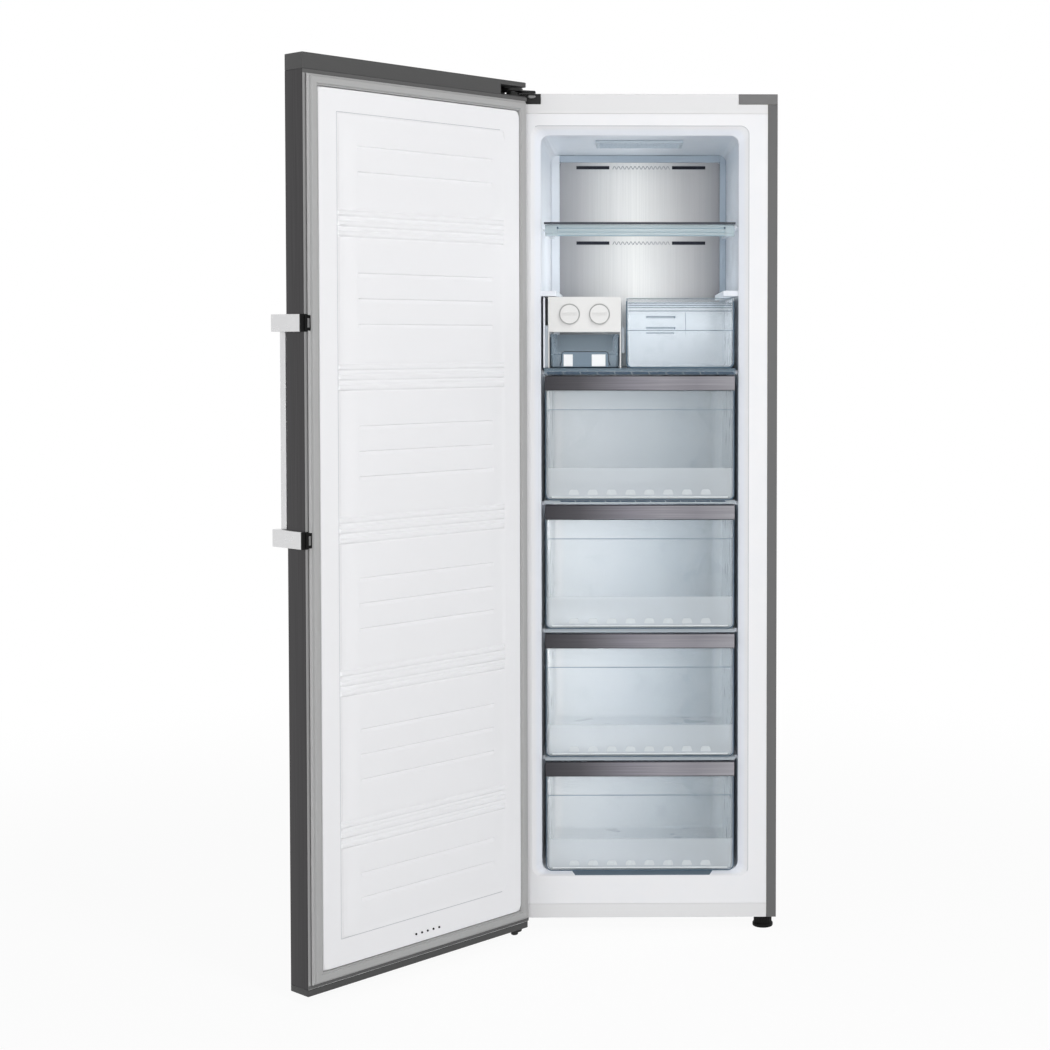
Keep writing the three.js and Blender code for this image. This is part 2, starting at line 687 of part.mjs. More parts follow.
function topShelfRail() {
  const top = TOP_SHELF_Z - GLASS_T - FIT;
  const profile = [
    [RAIL_FRONT, top - RAIL_PLATE_H],
    [RAIL_FRONT + RAIL_PLATE_T, top - RAIL_PLATE_H],
    [RAIL_FRONT + RAIL_PLATE_T, top - RAIL_PLATE_T],
    [RAIL_FRONT + RAIL_FLANGE, top - RAIL_PLATE_T],
    [RAIL_FRONT + RAIL_FLANGE, top],
    [RAIL_FRONT, top],
  ];
  return pulledAcross(profile, [RAIL_SHORT - SHELF_HALF_W, SHELF_HALF_W - RAIL_SHORT]);
}

function shelves() {
  const across = [-SHELF_HALF_W, SHELF_HALF_W];
  const topGlass = block(across, [SHELF_FRONT, SHELF_BACK], [TOP_SHELF_Z - GLASS_T, TOP_SHELF_Z]);
  piece('top_shelf_glass', topGlass, GLASS);
  piece('top_shelf_rail', topShelfRail(), CLEAR);
  piece('middle_shelf_glass', lippedShelf(MIDDLE_SHELF_Z, MIDDLE_LIP_H), GLASS);
  DRAWER_SHELVES.forEach((top, index) => {
    piece(`drawer_shelf_${index + 1}`, lippedShelf(top, SHELF_LIP), GLASS);
  });
  const lens = block([-LAMP_HALF_W, LAMP_HALF_W], LAMP_Y, [MOUTH_TOP - LAMP_T, MOUTH_TOP - FIT]);
  piece('lamp_lens', lens, LENS);
}

// ---------------------------------------------------------------- drawers

const MID_ARC = 1 - Math.SQRT1_2; // where the middle of a rounding lies, as a share of its radius

// An open tub: an outer skin with a rounded foot and a moulded step, and an inner skin one wall in.
function tub({ x, y, low, high, wall, r, fillet, draft, step, stepZ }) {
  const ring = (inset, at) => ({
    a: [x[0] + inset, x[1] - inset],
    b: [y[0] + inset, y[1] - inset],
    r: Math.max(r - inset / 2, SHARP_R),
    at,
  });
  const tuck = step + draft;
  const inner = tuck + wall;
  const hollow = fillet - wall;
  return moulding([
    ring(tuck + fillet, low),
    ring(tuck + fillet * MID_ARC, low + fillet * MID_ARC),
    ring(tuck, low + fillet),
    ring(step, stepZ),
    ring(0, stepZ + step),
    ring(0, high),
    ring(wall, high),
    ring(wall, stepZ + step),
    ring(step + wall, stepZ),
    ring(inner, low + fillet),
    ring(inner + hollow * MID_ARC, low + wall + hollow * MID_ARC),
    ring(inner + hollow, low + wall),
  ], facingUp, { steps: 3 });
}

function drawerTub(index) {
  const top = drawerTop(index);
  const back = index === DRAWER_COUNT - 1 ? STEP_Y - TUB_TO_STEP : DUCT_FRONT - TUB_TO_DUCT;
  return tub({
    x: [TUB_SHORT - SHELF_HALF_W, SHELF_HALF_W - TUB_SHORT],
    y: [DRAWER_FRONT + TRIM_T + FIT, back],
    low: drawerFloor(index) + FIT,
    high: top - TUB_RIM,
    wall: TUB_T,
    r: TUB_R,
    fillet: TUB_FILLET,
    draft: TUB_DRAFT,
    step: TUB_BEAD,
    stepZ: top - TUB_BEAD_Z,
  });
}

// A folded strip over the top of a drawer's front.
function drawerTrim(index) {
  const top = drawerTop(index);
  const front = DRAWER_FRONT;
  const profile = [
    [front, top - TRIM_H],
    [front + TRIM_T, top - TRIM_H],
    [front + TRIM_T, top - TRIM_T],
    [front + TRIM_TOP_D, top - TRIM_T],
    [front + TRIM_TOP_D, top],
    [front, top],
  ];
  return pulledAcross(profile, [TRIM_SHORT - SHELF_HALF_W, SHELF_HALF_W - TRIM_SHORT]);
}

function smallDrawer() {
  const body = tub({
    x: SMALL_X,
    y: [SMALL_FRONT, DUCT_FRONT - SMALL_TO_DUCT],
    low: MIDDLE_SHELF_Z + FIT,
    high: SMALL_TOP,
    wall: TUB_T,
    r: SMALL_R,
    fillet: SMALL_R,
    draft: TUB_DRAFT,
    step: TUB_BEAD,
    stepZ: SMALL_TOP - SMALL_STEP_DOWN,
  });
  const band = block(
    [SMALL_X[0] + SMALL_R, SMALL_X[1] - SMALL_R],
    [SMALL_FRONT - SMALL_BAND_T, SMALL_FRONT + TUB_T / 2],
    [SMALL_TOP - SMALL_BAND_H, SMALL_TOP],
  );
  return join(body, band);
}

function drawers() {
  for (let index = 0; index < DRAWER_COUNT; index += 1) {
    piece(`drawer_${index + 1}_tub`, drawerTub(index), CLEAR);
    piece(`drawer_${index + 1}_trim`, drawerTrim(index), DARK_TRIM);
  }
  piece('small_drawer', smallDrawer(), CLEAR);
}

// ---------------------------------------------------------------- ice maker

function iceHousing() {
  const [x0, x1] = ICE_X;
  const foot = MIDDLE_SHELF_Z + FIT;
  const inX = [x0 + ICE_T, x1 - ICE_T];
  const inY = [ICE_FRONT + ICE_T, ICE_BACK - ICE_T];
  const under = [foot - OVERCUT, ICE_TOP - ICE_T];
  const windows = block(inX, [ICE_FRONT - OVERCUT, ICE_BACK + OVERCUT], [foot - OVERCUT, ICE_SKIRT]);
  const frontHoles = KNOB_X.map((x) => {
    return bar('y', KNOB_SHAFT_R + FIT, [ICE_FRONT - OVERCUT, inY[0] + OVERCUT], [x, KNOB_Z], ROUND_STEPS);
  });
  const rearHoles = KNOB_X.map((x) => {
    return bar('y', TRAY_PIN_R + FIT, [inY[1] - OVERCUT, ICE_BACK + OVERCUT], [x, KNOB_Z]);
  });
  const body = block(ICE_X, [ICE_FRONT, ICE_BACK], [foot, ICE_TOP]);
  return cut(body, block(inX, inY, under), windows, ...frontHoles, ...rearHoles);
}

// A tray with two rows of cells; its dividers stop below the rim. A pin at its back runs in the housing.
function iceTray(x) {
  const ends = [ICE_FRONT + ICE_T + TRAY_END, ICE_BACK - ICE_T - TRAY_END];
  const low = KNOB_Z - TRAY_H / 2;
  const high = KNOB_Z + TRAY_H / 2;
  const body = block([x - TRAY_HALF_W, x + TRAY_HALF_W], ends, [low, high]);
  const inside = [ends[0] + TRAY_T, ends[1] - TRAY_T];
  const pitch = (inside[1] - inside[0]) / TRAY_CELLS;
  const inner = [x - TRAY_HALF_W + TRAY_T, x + TRAY_HALF_W - TRAY_T];
  const cells = [-1, 1].flatMap((row) => Array.from({ length: TRAY_CELLS }, (_, cell) => {
    const across = [row * (TRAY_T / 2), row * (TRAY_HALF_W - TRAY_T)].sort((p, q) => p - q);
    const along = [inside[0] + cell * pitch + TRAY_T / 2, inside[0] + (cell + 1) * pitch - TRAY_T / 2];
    return block([x + across[0], x + across[1]], along, [low + TRAY_T, high]);
  }));
  const tray = cut(body, block(inner, inside, [high - TRAY_RIM, high + OVERCUT]), ...cells);
  return join(tray, bar('y', TRAY_PIN_R, [ends[1] - OVERCUT, ICE_BACK], [x, KNOB_Z]));
}

function iceKnob(x) {
  const face = ICE_FRONT - FIT;
  const disc = bar('y', KNOB_R, [face - KNOB_T, face], [x, KNOB_Z], ROUND_STEPS);
  const hollow = [face - KNOB_T - OVERCUT, face - KNOB_T / 2];
  const dish = bar('y', KNOB_R - KNOB_RING, hollow, [x, KNOB_Z], ROUND_STEPS);
  const grip = block(
    [x - KNOB_R + KNOB_GRIP_IN, x + KNOB_R - KNOB_GRIP_IN],
    [face - KNOB_T, face - KNOB_T / 4],
    [KNOB_Z - KNOB_GRIP / 2, KNOB_Z + KNOB_GRIP / 2],
  );
  const shaft = bar('y', KNOB_SHAFT_R, [face - KNOB_T / 4, ICE_FRONT + ICE_T + TRAY_END - FIT], [x, KNOB_Z]);
  return join(cut(disc, dish), grip, shaft);
}

function iceBin() {
  const [x0, x1] = [ICE_X[0] + ICE_T + BIN_CLEAR, ICE_X[1] - ICE_T - BIN_CLEAR];
  const front = ICE_FRONT + ICE_T;
  const top = ICE_SKIRT - BIN_UNDER_HOOD;
  const lip = MIDDLE_SHELF_Z + BIN_LIP_H;
  const body = tub({
    x: [x0, x1],
    y: [front, ICE_BACK - ICE_T - BIN_CLEAR],
    low: MIDDLE_SHELF_Z + FIT,
    high: top,
    wall: BIN_T,
    r: BIN_R,
    fillet: BIN_R,
    draft: BIN_DRAFT,
    step: BIN_DRAFT,
    stepZ: lip - BIN_R,
  });
  const opening = {
    a: [x0 + BIN_SCOOP_IN, x1 - BIN_SCOOP_IN],
    b: [lip, top + 2 * BIN_SCOOP_R],
    r: BIN_SCOOP_R,
  };
  const scoop = moulding([
    { ...opening, at: front - OVERCUT },
    { ...opening, at: front + BIN_T + BIN_R },
  ], facingFront);
  return cut(body, scoop);
}

function iceMaker() {
  piece('ice_housing', iceHousing(), WHITE_PLASTIC);
  KNOB_X.forEach((x, index) => {
    const side = ['left', 'right'][index];
    piece(`ice_tray_${side}`, iceTray(x), CLEAR);
    piece(`ice_knob_${side}`, iceKnob(x), WHITE_PLASTIC);
  });
  piece('ice_bin', iceBin(), CLEAR);
}

// ---------------------------------------------------------------- cooling parts

function ductPlate() {
  const wall = wallX(CAVITY_D);
  const ring = (inset, at) => ({
    a: [DUCT_SIDE[0] + inset - wall, wall - DUCT_SIDE[1] - inset],
    b: [STEP_Z + FIT + inset, DUCT_TOP - inset],
    r: DUCT_R,
    at,
  });
  const shell = moulding([
    ring(0, DUCT_FRONT),
    ring(0, DUCT_BACK),
    ring(DUCT_T, DUCT_BACK),
    ring(DUCT_T, DUCT_FRONT + DUCT_T),
  ], facingFront);
  const through = [DUCT_FRONT - OVERCUT, DUCT_FRONT + DUCT_T + OVERCUT];
  const vents = VENT_DOWN.map((down) => DUCT_TOP - down).flatMap((z) => {
    return VENT_X.map((across) => block(across, through, [z, z + VENT_H]));
  });
  return cut(shell, ...vents);
}

// A finned block: a comb of plates on a spine against the back wall.
function evaporator() {
  const back = DUCT_BACK;
  const spine = back - EVAP_SPINE;
  const tip = back - EVAP_D;
  const pitch = (2 * EVAP_HALF_W - EVAP_FIN_T) / (EVAP_FINS - 1);
  const comb = Array.from({ length: EVAP_FINS }, (_, fin) => {
    const left = -EVAP_HALF_W + fin * pitch;
    return [[left, spine], [left, tip], [left + EVAP_FIN_T, tip], [left + EVAP_FIN_T, spine]];
  }).flat();
  return pulled(polygon([[-EVAP_HALF_W, back], ...comb, [EVAP_HALF_W, back]]), [EVAP_TOP - EVAP_H, EVAP_TOP]);
}

function fanMotor() {
  const body = bar('y', MOTOR_R, [DUCT_BACK - MOTOR_D, DUCT_BACK], [0, FAN_Z], ROUND_STEPS);
  const tip = DUCT_BACK - MOTOR_D - FAN_D - 2 * FIT;
  return join(body, bar('y', MOTOR_SHAFT_R, [tip, DUCT_BACK - MOTOR_D / 2], [0, FAN_Z]));
}

function fanBlade() {
  const back = DUCT_BACK - MOTOR_D - FIT;
  const middle = back - FAN_D / 2;
  const hub = bar('y', FAN_HUB_R, [back - FAN_D, back], [0, FAN_Z], ROUND_STEPS);
  const blades = Array.from({ length: FAN_BLADES }, (_, blade) => {
    const width = FAN_D / Math.sin(THREE.MathUtils.degToRad(FAN_PITCH)) - FAN_BLADE_T;
    const plate = new THREE.BoxGeometry(width, FAN_BLADE_T, FAN_R - FAN_HUB_R / 2);
    plate.rotateZ(THREE.MathUtils.degToRad(FAN_PITCH));
    plate.translate(0, 0, (FAN_R + FAN_HUB_R / 2) / 2);
    return plate.rotateY((blade / FAN_BLADES) * 2 * Math.PI).translate(0, middle, FAN_Z);
  });
  const bore = bar('y', MOTOR_SHAFT_R + FIT, [back - FAN_D - OVERCUT, back + OVERCUT], [0, FAN_Z]);
  return cut(join(hub, ...blades), bore);
}

// The compressor: a welded shell standing on its foot plate.
function compressor() {
  const y = (MACHINE_FRONT + BACK) / 2;
  const foot = BASE_TOP + FIT;
  const low = foot + COMPRESSOR_LIFT;
  const top = low + COMPRESSOR_H;
  const seam = (low + top) / 2;
  const profile = [
    [0, low],
    [COMPRESSOR_CROWN_R, low],
    [COMPRESSOR_SHOULDER_R, low + COMPRESSOR_SHOULDER_H],
    [COMPRESSOR_WALL_R, seam],
    [COMPRESSOR_R, seam],
    [COMPRESSOR_R, seam + COMPRESSOR_SEAM_H],
    [COMPRESSOR_WALL_R, seam + COMPRESSOR_SEAM_H],
    [COMPRESSOR_SHOULDER_R, top - COMPRESSOR_SHOULDER_H],
    [COMPRESSOR_CROWN_R, top - COMPRESSOR_CROWN_H],
    [0, top],
  ];
  const shell = turned(profile, [COMPRESSOR_X, y]);
  const plate = block(
    [COMPRESSOR_X - COMPRESSOR_FOOT_W / 2, COMPRESSOR_X + COMPRESSOR_FOOT_W / 2],
    [y - COMPRESSOR_FOOT_D / 2, y + COMPRESSOR_FOOT_D / 2],
    [foot, foot + COMPRESSOR_FOOT_T],
  );
  const stand = bar('z', COMPRESSOR_STAND_R, [foot, low + COMPRESSOR_FOOT_T], [COMPRESSOR_X, y]);
  return join(shell, plate, stand);
}

function compressorCover() {
  const rear = [CAB_D - STEEL_T, CAB_D];
  const sheet = block([-INSIDE, INSIDE], rear, [BASE_TOP + FIT, MACHINE_TOP]);
  const through = [rear[0] - OVERCUT, rear[1] + OVERCUT];
  const slots = Array.from({ length: COVER_SLOTS }, (_, slot) => {
    const low = CAB_BOTTOM + COVER_FIRST_SLOT + slot * COVER_SLOT_PITCH;
    const across = [COMPRESSOR_X - COVER_SLOT_W / 2, COMPRESSOR_X + COVER_SLOT_W / 2];
    return block(across, through, [low, low + COVER_SLOT_H]);
  });
  return cut(sheet, ...slots);
}

function cordInlet() {
  const back = CAB_D + FIT;
  const place = [INLET_IN - SIDE, CAB_BOTTOM + INLET_UP];
  const boss = bar('y', INLET_R, [back, back + INLET_L], place, ROUND_STEPS);
  return cut(boss, bar('y', INLET_BORE, [back + INLET_FLOOR, back + INLET_L + OVERCUT], place));
}

function coolingParts() {
  piece('duct_plate', ductPlate(), BRUSHED);
  piece('evaporator', evaporator(), ALUMINIUM);
  piece('fan_motor', fanMotor(), BLACK_PLASTIC);
  piece('fan_blade', fanBlade(), GREY_PLASTIC);
  piece('compressor', compressor(), BLACK_PAINT);
  piece('compressor_cover', compressorCover(), ZINC);
  piece('cord_inlet', cordInlet(), BLACK_PLASTIC);
}

// ---------------------------------------------------------------- feet and rollers

function frontFoot(side) {
  const profile = [
    [0, 0],
    [FOOT_R - FOOT_CHAMFER, 0],
    [FOOT_R, FOOT_CHAMFER],
    [FOOT_R, FOOT_SOLE_H],
    [FOOT_NECK_R, FOOT_SOLE_H + FOOT_CHAMFER],
    [FOOT_NECK_R, FOOT_H],
    [STEM_R, FOOT_H],
    [STEM_R, BASE_TOP],
    [0, BASE_TOP],
  ];
  return turned(profile, [side * FOOT_X, FOOT_Y]);
}

function rearRoller(side) {
  const across = [side * ROLLER_X - ROLLER_W / 2, side * ROLLER_X + ROLLER_W / 2];
  const wheel = bar('x', ROLLER_R, across, [ROLLER_Y, ROLLER_R], ROUND_STEPS);
  const bore = [across[0] - OVERCUT, across[1] + OVERCUT];
  return cut(wheel, bar('x', AXLE_R + AXLE_CLEAR, bore, [ROLLER_Y, ROLLER_R]));
}

function rollerAxle(side) {
  const half = ROLLER_W / 2 + FIT + LUG_T + AXLE_PAST;
  return bar('x', AXLE_R, [side * ROLLER_X - half, side * ROLLER_X + half], [ROLLER_Y, ROLLER_R]);
}

function feet() {
  [['left', -1], ['right', 1]].forEach(([name, side]) => {
    piece(`front_foot_${name}`, frontFoot(side), BLACK_PLASTIC);
    piece(`rear_roller_${name}`, rearRoller(side), BLACK_PLASTIC);
    piece(`roller_axle_${name}`, rollerAxle(side), PIN_STEEL);
  });
}

// ---------------------------------------------------------------- hinges

// A plate with a round end about the hinge axis.
function tongue(halfWidth, root, levels) {
  const shape = new THREE.Shape();
  shape.moveTo(HINGE_X + halfWidth, root);
  shape.lineTo(HINGE_X - halfWidth, root);
  shape.lineTo(HINGE_X - halfWidth, HINGE_Y);
  shape.absarc(HINGE_X, HINGE_Y, halfWidth, Math.PI, 2 * Math.PI, false);
  shape.closePath();
  return pulled(shape, levels);
}

function topHingeBracket() {
  const plate = block([-SIDE, -PLATE_IN], [0, CORNER_PLATE_T], [PLATE_LOW, CAB_TOP]);
  const arm = tongue(TONGUE_HALF_W, CORNER_PLATE_T / 2, TONGUE_Z);
  return cut(join(plate, arm), bar('z', PIN_R + FIT, [PLATE_LOW, CAB_TOP + OVERCUT], [HINGE_X, HINGE_Y]));
}

function topHingePin() {
  const seat = TONGUE_Z[1] + FIT;
  return turned([
    [0, TOP_PIN_LOW],
    [PIN_R, TOP_PIN_LOW],
    [PIN_R, seat],
    [PIN_HEAD_R, seat],
    [PIN_HEAD_R, seat + PIN_HEAD_H],
    [0, seat + PIN_HEAD_H],
  ], [HINGE_X, HINGE_Y], PIN_STEPS);
}

function bottomHingeBracket() {
  const top = block([-SIDE, -SIDE + LOW_TOP_W], [LOW_WEB_Y[0], LOW_BACK], LOW_TOP_Z);
  const across = [HINGE_X - LOW_HALF_W, HINGE_X + LOW_HALF_W];
  const web = block(across, LOW_WEB_Y, [LOW_PLATE_Z[0], LOW_TOP_Z[1]]);
  const arm = tongue(LOW_HALF_W, LOW_WEB_Y[1], LOW_PLATE_Z);
  const pinHole = bar('z', PIN_R + FIT, [0, LOW_TOP_Z[0]], [HINGE_X, HINGE_Y]);
  const stemHole = bar('z', STEM_R + AXLE_CLEAR, [0, CAB_BOTTOM], [-FOOT_X, FOOT_Y]);
  return cut(join(top, web, arm), pinHole, stemHole);
}

function bottomHingePin() {
  const seat = LOW_PLATE_Z[0] - FIT;
  const low = seat - LOW_PIN_FOOT_H;
  return turned([
    [0, low],
    [LOW_PIN_FOOT_R - PIN_CHAMFER, low],
    [LOW_PIN_FOOT_R, low + PIN_CHAMFER],
    [LOW_PIN_FOOT_R, seat],
    [PIN_R, seat],
    [PIN_R, LOW_PIN_TOP],
    [0, LOW_PIN_TOP],
  ], [HINGE_X, HINGE_Y], PIN_STEPS);
}

function hinges() {
  piece('top_hinge_bracket', topHingeBracket(), BLACK_STEEL);
  piece('top_hinge_pin', topHingePin(), PIN_STEEL);
  piece('bottom_hinge_bracket', bottomHingeBracket(), BLACK_STEEL);
  piece('bottom_hinge_pin', bottomHingePin(), BLACK_STEEL);
}

// ---------------------------------------------------------------- door, closed

// The outer edge beside the hinge is rounded so far that it passes the cabinet at the end of the swing.
function hingeEdgeRadius() {
  const swing = THREE.MathUtils.degToRad(DOOR_STOP);
  const [sin, cos] = [Math.sin(swing), Math.cos(swing)];
  const short = HINGE_IN * sin - HINGE_FORE * (1 - cos) - (DOOR_GAP + DOOR_T) * cos + DOOR_CLEAR;
  return short / (sin - 1 - cos);
}

// The door seen from above, with its four rounded upright edges, drawn in from its outside by inset.
function doorOutline(inset) {
  const [left, right] = [-SIDE + inset, SIDE - inset];
  const [near, far] = [OUTER_Y + inset, INNER_Y - inset];
  const edge = (radius) => Math.max(radius - inset, inset / 4);
  const arcs = [
    [left, far, 1, -1, edge(HINGE_INNER_R), 90],
    [left, near, 1, 1, edge(hingeEdgeRadius()), 180],
    [right, near, -1, 1, edge(FREE_EDGE_R), 270],
    [right, far, -1, -1, edge(FREE_INNER_R), 0],
  ];
  const shape = new THREE.Shape();
  arcs.forEach(([x, y, inX, inY, r, from]) => {
    const start = THREE.MathUtils.degToRad(from);
    shape.absarc(x + inX * r, y + inY * r, r, start, start + Math.PI / 2, false);
  });
  return shape;
}

// A ring of the door's inner side, set in from the panel's edges and raised from its inner plane.
function doorRing(inset, rise, r = SHARP_R) {
  return {
    a: [-SIDE + inset, SIDE - inset],
    b: [PANEL_BOTTOM + inset, PANEL_TOP - inset],
    r,
    at: INNER_Y + rise,
  };
}

function doorPanel() {
  const levels = [PANEL_BOTTOM, PANEL_TOP];
  const past = [PANEL_BOTTOM - OVERCUT, PANEL_TOP + OVERCUT];
  const opening = block(
    [-SIDE + SKIN_RETURN, SIDE - SKIN_RETURN],
    [INNER_Y - SKIN_T - OVERCUT, INNER_Y + OVERCUT],
    past,
  );
  return cut(pulled(doorOutline(0), levels), pulled(doorOutline(SKIN_T), past), opening);
}

function bushHole(levels) {
  return bar('z', BUSH_R + FIT, levels, [HINGE_X, HINGE_Y]);
}

const UNDER_FLANGE = DOOR_FLANGE_T + FIT;
const BOSS_IN = DOOR_LINER_EDGE + DOOR_LINER_DRAFT + LINER_T + FIT;
const TOP_BUSH_LOW = TOP_PIN_LOW - BUSH_DEEP;

function doorFoam() {
  const plan = cut(
    pulled(doorOutline(SKIN_T + FIT), [PANEL_BOTTOM + FIT, PANEL_TOP - FIT]),
    block([-SIDE, SIDE], [INNER_Y - UNDER_FLANGE, INNER_Y], [0, DOOR_TOP]),
  );
  const boss = moulding([
    doorRing(BOSS_IN, -UNDER_FLANGE - OVERCUT),
    doorRing(BOSS_IN, DOOR_LINER_RISE - LINER_T - FIT),
  ], facingFront, { steps: 0 });
  return cut(join(plan, boss), bushHole([TOP_BUSH_LOW - FIT, PANEL_TOP]));
}

// The liner's flange lies between the panel's two side returns and runs over the whole height.
function flangeRing(rise) {
  const side = doorRing(SKIN_RETURN + FIT, rise);
  return { ...side, b: doorRing(FIT, rise).b };
}

// The door's moulded inner liner, with a raised field, grooves and bands of ridges.
function doorLiner() {
  const edge = DOOR_LINER_EDGE;
  const top = edge + DOOR_LINER_DRAFT;
  const fieldZ = [PANEL_BOTTOM + FIELD_LOW, PANEL_TOP - FIELD_HIGH];
  const field = { a: [-SIDE + FIELD_IN, SIDE - FIELD_IN], b: fieldZ, r: FIELD_R };
  const face = INNER_Y + DOOR_LINER_RISE;
  const raised = face + FIELD_RISE;
  const shell = moulding([
    doorRing(top + LINER_T, DOOR_LINER_RISE - LINER_T),
    doorRing(top + LINER_T, -DOOR_FLANGE_T),
    flangeRing(-DOOR_FLANGE_T),
    flangeRing(0),
    doorRing(edge, 0),
    doorRing(top, DOOR_LINER_RISE, DOOR_LINER_R),
    { ...field, at: face },
    { ...field, at: raised },
  ], facingFront);
  const pitch = (fieldZ[1] - fieldZ[0] - BAND_DOWN - BAND_UP) / (BAND_COUNT - 1);
  const bands = Array.from({ length: BAND_COUNT }, (_, band) => fieldZ[1] - BAND_DOWN - band * pitch);
  const ends = [-SIDE + FIELD_IN + RIDGE_IN, SIDE - FIELD_IN - RIDGE_IN];
  const ridges = bands.flatMap((band) => [-1, 0, 1].map((step) => {
    const z = band + step * RIDGE_PITCH;
    return pulledAcross([
      [raised - LINER_T, z - RIDGE_W / 2],
      [raised, z - RIDGE_W / 2],
      [raised + RIDGE_RISE, z - RIDGE_TOP_W / 2],
      [raised + RIDGE_RISE, z + RIDGE_TOP_W / 2],
      [raised, z + RIDGE_W / 2],
      [raised - LINER_T, z + RIDGE_W / 2],
    ], ends);
  }));
  const between = bands.slice(1).flatMap((band) => [-1, 0, 1].map((step) => {
    return band + pitch / 2 + step * GROOVE_PITCH;
  }));
  const atEnds = [0, 1].flatMap((step) => {
    const inset = GROOVE_END + step * GROOVE_PITCH;
    return [fieldZ[0] + inset, fieldZ[1] - inset];
  });
  const across = [-SIDE + FIELD_IN + GROOVE_IN[0], SIDE - FIELD_IN - GROOVE_IN[1]];
  const grooves = [...between, ...atEnds].map((z) => {
    const groove = { a: across, b: [z - GROOVE_H / 2, z + GROOVE_H / 2], r: GROOVE_R };
    return moulding([
      { ...groove, at: raised - GROOVE_D },
      { ...groove, at: raised + OVERCUT },
    ], facingFront, { steps: 2 });
  });
  return cut(join(shell, ...ridges), ...grooves);
}

function topCap() {
  const body = pulled(doorOutline(0), [PANEL_TOP + FIT, DOOR_TOP]);
  const notch = block(
    [-SIDE - OVERCUT, -SIDE + NOTCH_W],
    [OUTER_Y + NOTCH_WALL, INNER_Y + OVERCUT],
    [PANEL_TOP + NOTCH_FLOOR, DOOR_TOP - NOTCH_ROOF],
  );
  return cut(body, notch, bushHole([PANEL_TOP - OVERCUT, PANEL_TOP + NOTCH_FLOOR + OVERCUT]));
}

function bottomCap() {
  const body = pulled(doorOutline(0), [DOOR_BOTTOM, PANEL_BOTTOM - FIT]);
  return cut(body, bushHole([0, PANEL_BOTTOM + OVERCUT]));
}

// A bush in the door round a hinge pin; a flange under it carries the door where it has one.
function bush(levels, flange) {
  const bore = PIN_R + RUN;
  const profile = flange
    ? [[bore, flange[0]], [BUSH_FLANGE_R, flange[0]], [BUSH_FLANGE_R, flange[1]], [BUSH_R, flange[1]]]
    : [[bore, levels[0]], [BUSH_R, levels[0]]];
  profile.push([BUSH_R, levels[1]], [bore, levels[1]], profile[0]);
  return turned(profile, [HINGE_X, HINGE_Y], PIN_STEPS);
}

function gasket() {
  const crown = DOOR_GAP - GASKET_GAP;
  const rings = [
    [GASKET_IN, FIT],
    [GASKET_IN, GASKET_SIDE_H],
    ...GASKET_FOLDS,
    [GASKET_CROWN[0], crown],
    [GASKET_CROWN[1], crown],
    [DOOR_LINER_EDGE - GASKET_GAP, FIT],
  ].map(([inset, rise]) => doorRing(inset, rise));
  return moulding(rings, facingFront, { steps: 0, hoop: true });
}

// A bracket wrapped round the door's free edge: its side plate, its arm to the grip and its inner lip.
function handleBracket(middle) {
  const free = SIDE + FIT;
  const outer = free + BRACKET_T;
  const tip = OUTER_Y - HANDLE_REACH;
  const grip = SIDE - GRIP_IN + FIT;
  const inner = INNER_Y + FIT;
  const profile = [
    [outer, tip],
    [outer, inner + LIP_T],
    [SIDE - LIP_W, inner + LIP_T],
    [SIDE - LIP_W, inner],
    [free, inner],
    [free, tip + GRIP_D],
    [grip, tip + GRIP_D],
    [grip, tip],
  ];
  return pulled(polygon(profile), [middle - BRACKET_H / 2, middle + BRACKET_H / 2]);
}

function handleBar() {
  const tip = OUTER_Y - HANDLE_REACH;
  const right = SIDE - GRIP_IN;
  const ends = [GRIP_Z[0] - BRACKET_H / 2, GRIP_Z[1] + BRACKET_H / 2];
  return moulding([
    { a: [right - GRIP_W, right], b: [tip, tip + GRIP_D], r: GRIP_R, at: ends[0] },
    { a: [right - GRIP_W, right], b: [tip, tip + GRIP_D], r: GRIP_R, at: ends[1] },
  ], facingUp);
}

// The door group turns about the hinge axis; its pieces are drawn closed.
function door() {
  const leaf = new THREE.Group();
  leaf.position.set(HINGE_X, HINGE_Y, 0);
  leaf.rotation.z = -THREE.MathUtils.degToRad(DOOR_OPEN);
  freezer.add(leaf);
  const hang = (name, geometry, material) => {
    piece(name, geometry.translate(-HINGE_X, -HINGE_Y, 0), material, leaf);
  };
  hang('door_panel', doorPanel(), DOOR_STEEL);
  hang('door_foam', doorFoam(), FOAM);
  hang('door_liner', doorLiner(), WHITE_LINER);
  hang('door_gasket', gasket(), RUBBER);
  hang('door_top_cap', topCap(), DOOR_CAP);
  hang('door_bottom_cap', bottomCap(), DOOR_CAP);
  hang('top_hinge_bush', bush([TOP_BUSH_LOW, TONGUE_Z[0] - FIT], null), BLACK_PLASTIC);
  const flange = [LOW_PLATE_Z[1] + FIT, DOOR_BOTTOM - FIT];
  hang('bottom_hinge_bush', bush([DOOR_BOTTOM, LOW_PIN_TOP + BUSH_DEEP], flange), BLACK_PLASTIC);
  hang('handle_bar', handleBar(), CHROME);
  hang('handle_bracket_bottom', handleBracket(GRIP_Z[0]), CHROME);
  hang('handle_bracket_top', handleBracket(GRIP_Z[1]), CHROME);
}

// ---------------------------------------------------------------- the whole freezer

cabinet();
shelves();
drawers();
iceMaker();
coolingParts();
feet();
hinges();
door();

// The origin: on the floor, under the middle of the freezer's box as it stands with its door open.
freezer.updateMatrixWorld(true);
const reach = new THREE.Box3().setFromObject(freezer, true);
const middle = reach.getCenter(new THREE.Vector3());
freezer.position.set(-middle.x, -middle.y, -reach.min.z);

export default freezer;
